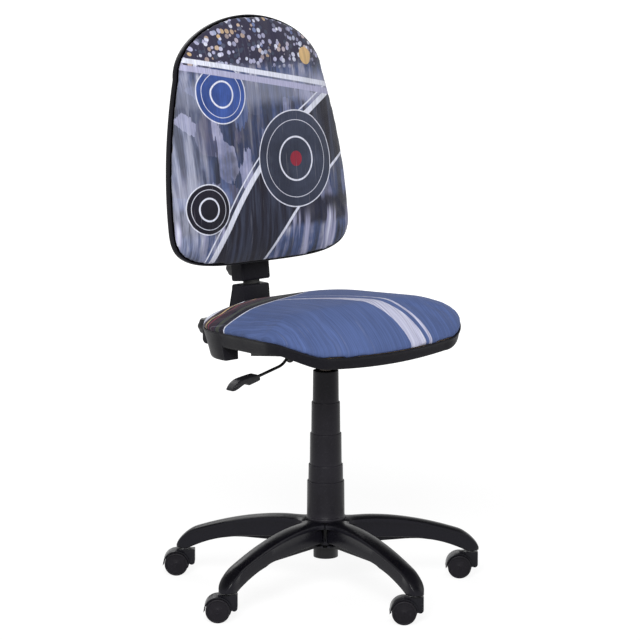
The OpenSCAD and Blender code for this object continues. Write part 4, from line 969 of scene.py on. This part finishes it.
def make_column():
    base_z = CREST - HUB_RECESS + 0.3
    base_top = base_z + COVER_BASE_H
    for k in range(1, 6):
        top = COVER_TOP - (k - 1) * COVER_STEP if k < 5 else base_top
        low = COVER_TOP - k * COVER_STEP - 10 if k < 4 else base_top - 10 if k == 4 else base_z
        r = (COVER_D + (k - 1) * COVER_D_STEP) / 2
        foot = r + COVER_FLARE / 2
        w = COVER_WALL
        profile = [(foot - w, low), (foot, low)]
        if k == 5:
            ring = (COVER_D + 4 * COVER_D_STEP + COVER_FLARE + 4) / 2
            profile = [(foot - w, low), (ring - 0.6, low), (ring, low + 0.8), (ring, low + 6),
                       (ring - 0.8, low + 7), (foot + 0.6, low + 7.4), (foot - 0.02, low + 8.4)]
        profile += [(mix(foot, r, t), mix(low, top, t)) for t in (0.25, 0.5, 0.75, 0.93, 0.985)]
        profile += [(r - 0.25, top - 0.25), (r - 0.7, top), (r - w + 0.4, top), (r - w, top - 0.4)]
        body = ("lift", "cover_two", "cover_three", "cover_four", "base")[k - 1]
        piece("cover_sleeve_%d" % k, *lathe(profile), body, cover_plastic, "cover_plastic",
              ["cover_section_%d" % k], sharp=40)


make_column()


# Castors

WHEEL_INNER = 5.5


def make_castors():
    r, half, inner = WHEEL_D / 2, CASTOR_W / 2, WHEEL_INNER
    profile = [(3.05, inner), (8, inner), (8, inner + 3), (r - 4, inner + 3), (r - 4, inner),
               (r - 1.6, inner), (r - 0.5, inner + 0.5), (r, inner + 1.6), (r, half - 1.9),
               (r - 0.25, half - 1.0), (r - 0.8, half - 0.35), (r - 1.6, half), (r - 3.2, half),
               (r - 3.9, half - 0.4), (r - 4.4, half - 1.4), (r - 9, half - 1.25),
               (4.5, half - 1.2), (4.0, half - 0.9), (2.2, half - 0.9), (1.8, half - 1.4),
               (0, half - 1.4), (0, half - 3.5), (3.05, half - 3.5)]
    points, faces = moved(lathe(profile, 72), lambda p: (p[0] - TRAIL, -p[2], p[1] + r))
    for i, arm in enumerate(CASTORS):
        for side, mirror in (("near", 1), ("far", -1)):
            piece("%s_roller_%s" % (side, arm), points, faces, "%s_%s" % (side, arm), wheel_plastic,
                  "wheel_plastic", ["%s_wheel_%s" % (side, arm)], castor_space(i, mirror), sharp=34)


make_castors()


# Backrest's sleeve, elbow cover and clamping knobs

KNEE_W = SLEEVE_W - 2
KNEE_REAR_Y = SEAT_REAR_Y + 145
KNEE_WALL = 3
TILT_Z = 488
LEG_Z = TILT_Z - 12
KNEE_FOOT = LEG_Z - 15
KNOB_LINE = KNEE_FOOT + 29
BAR_LINE = SLEEVE_FRONT + SLEEVE_D / 2
SLOT_GAP = 0.6
STUD_BORE_R = 4.05
KNOB_RISE = 25
KNOB_NECK, KNOB_H = 12, 28


def rounded_line(corners, radius, steps=5):
    """An open line of points with its corners rounded; works in the plane and in space."""
    line = [Vector(corners[0])]
    for before, at, after in zip(corners, corners[1:], corners[2:]):
        before, at, after = Vector(before), Vector(at), Vector(after)
        reach = min(radius, (at - before).length * 0.45, (after - at).length * 0.45)
        start = at + (before - at).normalized() * reach
        end = at + (after - at).normalized() * reach
        for i in range(steps + 1):
            t = i / steps
            line.append(start * (1 - t) ** 2 + at * 2 * t * (1 - t) + end * t ** 2)
    return line + [Vector(corners[-1])]


def rounded_loop(corners, radius, steps=4):
    """A closed line of points with every corner rounded."""
    middle = (Vector(corners[0]) + Vector(corners[-1])) / 2
    return rounded_line([middle, *corners, middle], radius, steps)[:-1]


def make_sleeve():
    top = SLEEVE_FOOT + SLEEVE_H
    levels = [(SLEEVE_FOOT, 2.6), (SLEEVE_FOOT + 0.8, 1.2), (SLEEVE_FOOT + 3.4, 0.1),
              (SLEEVE_FOOT + 5, 0), (top - 6, 0), (top - 3.5, 0.4), (top - 1, 1.9), (top, 4)]
    rings = [[(x, y + BAR_LINE, z) for x, y in
              round_rect(SLEEVE_W - 2 * d, SLEEVE_D - 2 * d, 5.5 - d * 0.6)] for z, d in levels]
    obj = piece("bar_sleeve", *skin(rings), "backrest", bracket_plastic, "bracket_plastic",
                ["height_sleeve"], back_space)
    hole = round_rect(BAR_W + 2 * SLOT_GAP, BAR_T + 2 * SLOT_GAP, 0.4, 2)
    slot = plate([(x, y + BAR_LINE) for x, y in hole], SLEEVE_FOOT - 5, top - 4)
    stud = moved(cylinder(STUD_BORE_R, 0, SLEEVE_D),
                 lambda p: (p[0], BAR_LINE + p[2], SLEEVE_FOOT + KNOB_RISE + p[1]))
    combine(obj, [moved(slot, back_space), moved(stud, back_space)], "DIFFERENCE")
    obj.data.set_sharp_from_angle(angle=radians(35))


def knee_outline(t):
    """Side outline (y, z) of the elbow's cover, moved in by t."""
    top = back_space((0, BAR_LINE, SLEEVE_FOOT - 8))
    h = top[2] - KNEE_FOOT
    front, rear = top[1] - SLEEVE_D / 2 + 5, top[1] + SLEEVE_D / 2

    def z(share):
        return KNEE_FOOT + h * share
    return [(front + t, top[2] - t), (rear - t, top[2] - t), (rear + 5 - t, z(0.72)),
            (rear + 18 - t, z(0.54)), (KNEE_REAR_Y - 45 - t, z(0.41) - t / 2),
            (KNEE_REAR_Y - 8 - t, z(0.37) - t),
            (KNEE_REAR_Y - t, z(0.33) - t), (KNEE_REAR_Y - t, KNEE_FOOT + 6 + t / 2),
            (KNEE_REAR_Y - 7 - t / 2, KNEE_FOOT + t), (SEAT_REAR_Y - 14, KNEE_FOOT + t),
            (SEAT_REAR_Y - 14, z(0.24) - t), (SEAT_REAR_Y + 6 + t, z(0.34)),
            (SEAT_REAR_Y + 6 + t, z(0.5))]


def make_knee():
    outline = [tuple(p) for p in rounded_loop(knee_outline(0), 4)]
    half = KNEE_W / 2
    stations = [(-half, 3), (-half + 0.9, 1.1), (-half + 3, 0)]
    stations += [(half - 3, 0), (half - 0.9, 1.1), (half, 3)]
    after_each = outline[1:] + outline[:1]
    area = sum(a[0] * b[1] - b[0] * a[1] for a, b in zip(outline, after_each))
    sign = 1 if area > 0 else -1

    def shrunk(d):
        away = []
        for before, at, after in zip(outline[-1:] + outline[:-1], outline, after_each):
            run = Vector(after) - Vector(before)
            normal = Vector((run[1], -run[0])).normalized()
            away.append((at[0] - normal[0] * d * sign, at[1] - normal[1] * d * sign))
        return away

    def sideways(p):
        return p[2], p[0], p[1]
    rings = [[(x, y, z) for y, z in shrunk(d)] for x, d in stations]
    obj = piece("elbow_cover", *skin(rings, ends="fan"), "back_bar", bracket_plastic,
                "bracket_plastic", ["knee_cover"])
    hollow = plate([tuple(p) for p in knee_outline(KNEE_WALL)], KNEE_WALL - half, half - KNEE_WALL)
    top = back_space((0, BAR_LINE, SLEEVE_FOOT - 8))
    slot = plate([(s * (BAR_W / 2 + 0.3), top[1] + r * (BAR_T / 2 + SLOT_GAP))
                  for s, r in ((-1, -1), (1, -1), (1, 1), (-1, 1))], top[2] - 6, top[2] + 3)
    front, rear = SEAT_REAR_Y - 16, SEAT_REAR_Y - 12
    foot, lintel = KNEE_FOOT + KNEE_WALL, KNEE_FOOT + 26
    mouth = plate([(front, foot), (rear, foot), (rear, lintel), (front, lintel)],
                  KNEE_WALL - half, half - KNEE_WALL)
    stud = moved(cylinder(STUD_BORE_R, KNEE_REAR_Y - 6, KNEE_REAR_Y + 2),
                 lambda p: (p[0], p[2], p[1] + KNOB_LINE))
    combine(obj, [moved(hollow, sideways), slot, moved(mouth, sideways), stud], "DIFFERENCE")
    obj.data.set_sharp_from_angle(angle=radians(32))


def knob_ring(shrink, z, lobes=6, steps=96):
    """Lobed outline of a clamping knob at height z."""
    lobe_r = KNOB_D * 0.08
    core = KNOB_D / 2 - lobe_r * 0.6
    ring = []
    for i in range(steps):
        a = 2 * pi * i / steps
        wave = 0.5 + 0.5 * cos(lobes * a)
        r = core + lobe_r * 0.6 * wave ** 0.8 - shrink
        ring.append((r * cos(a), r * sin(a), z))
    return ring


def make_knob(name, node, body, reach, place):
    neck, top = KNOB_NECK, KNOB_NECK + KNOB_H
    head = [(4.5, neck), (1.6, neck + 0.3), (0.3, neck + 1.8), (0, neck + 4), (0, top - 6),
            (0.5, top - 3), (1.9, top - 1), (4.5, top), (8, top), (8.6, top - 0.8),
            (12.5, top - 0.8)]
    stem = spin([(0, -reach), (3.4, -reach), (4, -reach + 0.6), (4, 0.3), (9.4, 0.3), (10, 0.9),
                 (10, neck - 2), (11, neck + 0.5), (11, neck + 3), (0, neck + 3)], 48)

    def stand(p):
        return place((p[0], p[2], p[1]))
    obj = piece(name, *skin([knob_ring(*level) for level in head], ends="fan"), body, grip_plastic,
                "grip_plastic", [node], stand)
    combine(obj, [moved(stem, stand)], "UNION")
    obj.data.set_sharp_from_angle(angle=radians(40))


make_sleeve()
make_knee()
make_knob("height_grip", "height_knob", "height_clamp", SLEEVE_D / 2 - BAR_T / 2 - 0.3,
          lambda p: back_space((p[0], p[1] + SLEEVE_FRONT + SLEEVE_D,
                                p[2] + SLEEVE_FOOT + KNOB_RISE)))
make_knob("tension_grip", "tension_knob", "tension", 97,
          lambda p: (p[0], p[1] + KNEE_REAR_Y, p[2] + KNOB_LINE))


# Lever

LEVER_Y = -25
LEVER_REACH = 106
LEVER_SWING = 3
SOCKET_H = 35
LEVER_GAP = 0.3
LEVER_IN_Z = (SOCKET_FOOT + SOCKET_H + LEVER_REACH * sin(radians(LEVER_SWING)) + LEVER_GAP
              + LEVER_D / 2)
LEVER_PIVOT_Z = LEVER_IN_Z - 2.5
LEVER_LEAD = 26
# places of the outer bends: out from the pivot and down from it
LEVER_NECK, LEVER_KNEE, LEVER_END = (17, 2.5), (32, 16), (99, 31.5)
PADDLE_H, PADDLE_W, PADDLE_L, GRIP_L = 16, 24, 71, 26
PADDLE_MID = 1.2


def pipe(line, r, sides=20):
    """Points and faces of a round rod along a line in space."""
    rings = []
    for i, at in enumerate(line):
        way = (line[min(i + 1, len(line) - 1)] - line[max(i - 1, 0)]).normalized()
        u = way.cross(Vector((0, 0, 1))).normalized()
        v = u.cross(way)
        rings.append([tuple(at + u * r * cos(2 * pi * j / sides) + v * r * sin(2 * pi * j / sides))
                      for j in range(sides)])
    return skin(rings)


def make_lever():
    neck, last, end = (Vector((-LEVER_REACH - out, LEVER_Y, LEVER_PIVOT_Z - down))
                       for out, down in (LEVER_NECK, LEVER_KNEE, LEVER_END))
    way = (end - last).normalized()
    corners = [(0, 0, LEVER_IN_Z), (-LEVER_LEAD, LEVER_Y, LEVER_IN_Z),
               (-LEVER_REACH, LEVER_Y, LEVER_PIVOT_Z), neck, last, end, end + way * GRIP_L]
    line = rounded_line(corners, 9, 6)
    piece("lever_wire", *pipe(line, LEVER_D / 2), "lever", black_steel, "black_steel",
          ["lever_rod"], sharp=50)
    shares = [(0.0, 0.35), (0.03, 0.5), (0.2, 0.61), (0.41, 0.7), (0.56, 0.75), (0.65, 0.74),
              (0.79, 0.57), (0.93, 0.22), (1.0, 0.02), (0.985, -0.14), (0.92, -0.2), (0.78, -0.1),
              (0.65, 0.1), (0.52, 0.2), (0.48, 0.06), (0.42, -0.31), (0.05, -0.3), (0.0, -0.24)]
    side = rounded_loop([(-s * PADDLE_L, h * PADDLE_H) for s, h in shares], 3, 3)
    slope = atan2(way.z, way.x) - pi
    rings = []
    for across in range(-6, 7):
        t = across / 6
        squeeze = 1 - 0.2 * abs(t) ** 5
        rings.append([(p[0], PADDLE_W / 2 * sin(pi / 2 * t),
                       PADDLE_MID + (p[1] - PADDLE_MID) * squeeze) for p in side])

    def place(p):
        tip = 1 - 0.28 * ease((-p[0] / PADDLE_L - 0.8) / 0.2) ** 2
        a, b, c = p[0], p[1] * tip, p[2]
        return (end.x + a * cos(slope) - c * sin(slope), end.y + b,
                end.z + a * sin(slope) + c * cos(slope))
    obj = piece("lever_grip", *skin(rings, ends="fan"), "lever", grip_plastic, "grip_plastic",
                ["lever_paddle"], place, sharp=40)
    soften(obj, 0.7)


make_lever()


# Pieces that keep their CAD shape get a finish and softened edges

CAD_FINISH = [
    (black_steel, "black_steel", 0.6, ["stand_tube", "seat_plate", "l_bar"]),
    (cover_plastic, "cover_plastic", 0.4, ["guide_bush"]),
    (plain_steel, "plain_steel", 0.3, ["stand_clip", "thrust_bearing", "piston_rod", "release_pin",
                                       "tilt_pin", "tilt_spring", "tee_nuts"]),
    (dark_chrome, "chrome", 0.2, ["gas_cylinder"]),
    (screw_steel, "screw_steel", 0.3, ["plate_bolts", "shell_screws", "back_screws"]),
    (grip_plastic, "grip_plastic", 0.5, ["lever_bushing"]),
    (board, "board", 0.8, ["seat_board", "back_board"]),
    (hood_plastic, "hood_plastic", 0.9, ["castor_hood_" + arm for arm in CASTORS]),
    (castor_steel, "castor_steel", 0.3, ["castor_stem_" + arm for arm in CASTORS]
     + ["castor_axle_" + arm for arm in CASTORS]),
]


def tidy_cad(node, width):
    """Joins a CAD mesh's split vertices and flat triangles, then rounds its edges."""
    weld = node.modifiers.new("weld", "WELD")
    weld.merge_threshold = 0.01 * MM
    flat = node.modifiers.new("flat faces", "DECIMATE")
    flat.decimate_type = "DISSOLVE"
    flat.angle_limit = radians(1)
    node.data.shade_smooth()
    soften(node, width)


def dress_cad():
    for material, slot, width, names in CAD_FINISH:
        for name in names:
            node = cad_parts[name]
            node.data.materials.clear()
            node.data.materials.append(material)
            tidy_cad(node, width)


dress_cad()


# Camera and studio

VIEW_W, FOCAL_PX = 640, 2680.2
CAMERA_AT = Vector((-3.5294, -3.9198, 1.4733))
CAMERA_TURN = radians(-41.874)
CAMERA_DIP = radians(9.92)


def make_camera():
    data = bpy.data.cameras.new("camera")
    data.sensor_width = 36
    data.lens = FOCAL_PX / VIEW_W * data.sensor_width
    camera = placed("camera", data)
    camera.location = CAMERA_AT
    camera.rotation_euler = (pi / 2 - CAMERA_DIP, 0, CAMERA_TURN)
    bpy.context.scene.camera = camera


def lamp(name, place, aim, size, power):
    data = bpy.data.lights.new(name, "AREA")
    data.shape = "RECTANGLE"
    data.size, data.size_y = size
    data.energy = power
    obj = placed(name, data)
    obj.location = place
    obj.rotation_euler = (Vector(aim) - Vector(place)).to_track_quat("-Z", "Y").to_euler()


def seen_background(tree):
    """1 for camera, glossy and transmission rays."""
    path = tree.nodes.new("ShaderNodeLightPath")
    camera_ray, glossy_ray, clear_ray = [
        Wire(tree, path.outputs[name])
        for name in ("Is Camera Ray", "Is Glossy Ray", "Is Transmission Ray")]
    return camera_ray.most(glossy_ray).most(clear_ray)


SKY_LIGHT = 0.35
FLOOR_HALF = 60   # metres
FLOOR_GREY = (0.5, 0.5, 0.5)
FLOOR_GLOW = 1.25


def make_studio():
    world = bpy.data.worlds.new("studio")
    bpy.context.scene.world = world
    world.use_nodes = True
    tree = world.node_tree
    background = tree.nodes["Background"]
    up = shader_node(tree, "SeparateXYZ",
                     (0, shader_node(tree, "TexCoord").outputs["Generated"]))
    ceiling = Wire(tree, up.outputs["Z"]).step(0.3, 0.75, 1.0, 0.15)
    feed(tree, background.inputs["Color"], (1, 1, 1))
    feed(tree, background.inputs["Strength"],
         seen_background(tree) * (ceiling - SKY_LIGHT) + SKY_LIGHT)

    h = FLOOR_HALF
    mesh = bpy.data.meshes.new("floor")
    mesh.from_pydata([(-h, -h, 0), (h, -h, 0), (h, h, 0), (-h, h, 0)], [], [(0, 1, 2, 3)])
    floor = placed("floor", mesh)
    p = Paint("floor")
    p.finish(FLOOR_GREY, 0.9, None, specular_ior_level=0.1)
    away = p.add("VectorMath", (0, p.place))
    away.operation = "LENGTH"
    amount = seen_background(p.tree) * Wire(p.tree, away.outputs["Value"]).step(0.8, 3.0, 0.7, 1.0)
    glow = p.add("Emission", ("Strength", FLOOR_GLOW))
    mixer = p.add("MixShader", (0, amount), (1, p.shader.outputs[0]), (2, glow.outputs[0]))
    feed(p.tree, p.tree.nodes["Material Output"].inputs["Surface"], mixer.outputs[0])
    mesh.materials.append(p.material)

    lamp("key", (-2.7, -2.5, 2.9), (0, 0, 0.6), (1.8, 1.8), 195)
    lamp("fill", (2.8, -2.4, 1.8), (0, 0, 0.6), (1.6, 2.2), 22)
    lamp("rear", (0.6, 3.0, 2.6), (0, 0, 0.6), (2.2, 1.4), 35)
    bpy.context.scene.view_settings.view_transform = "Standard"


make_camera()
make_studio()
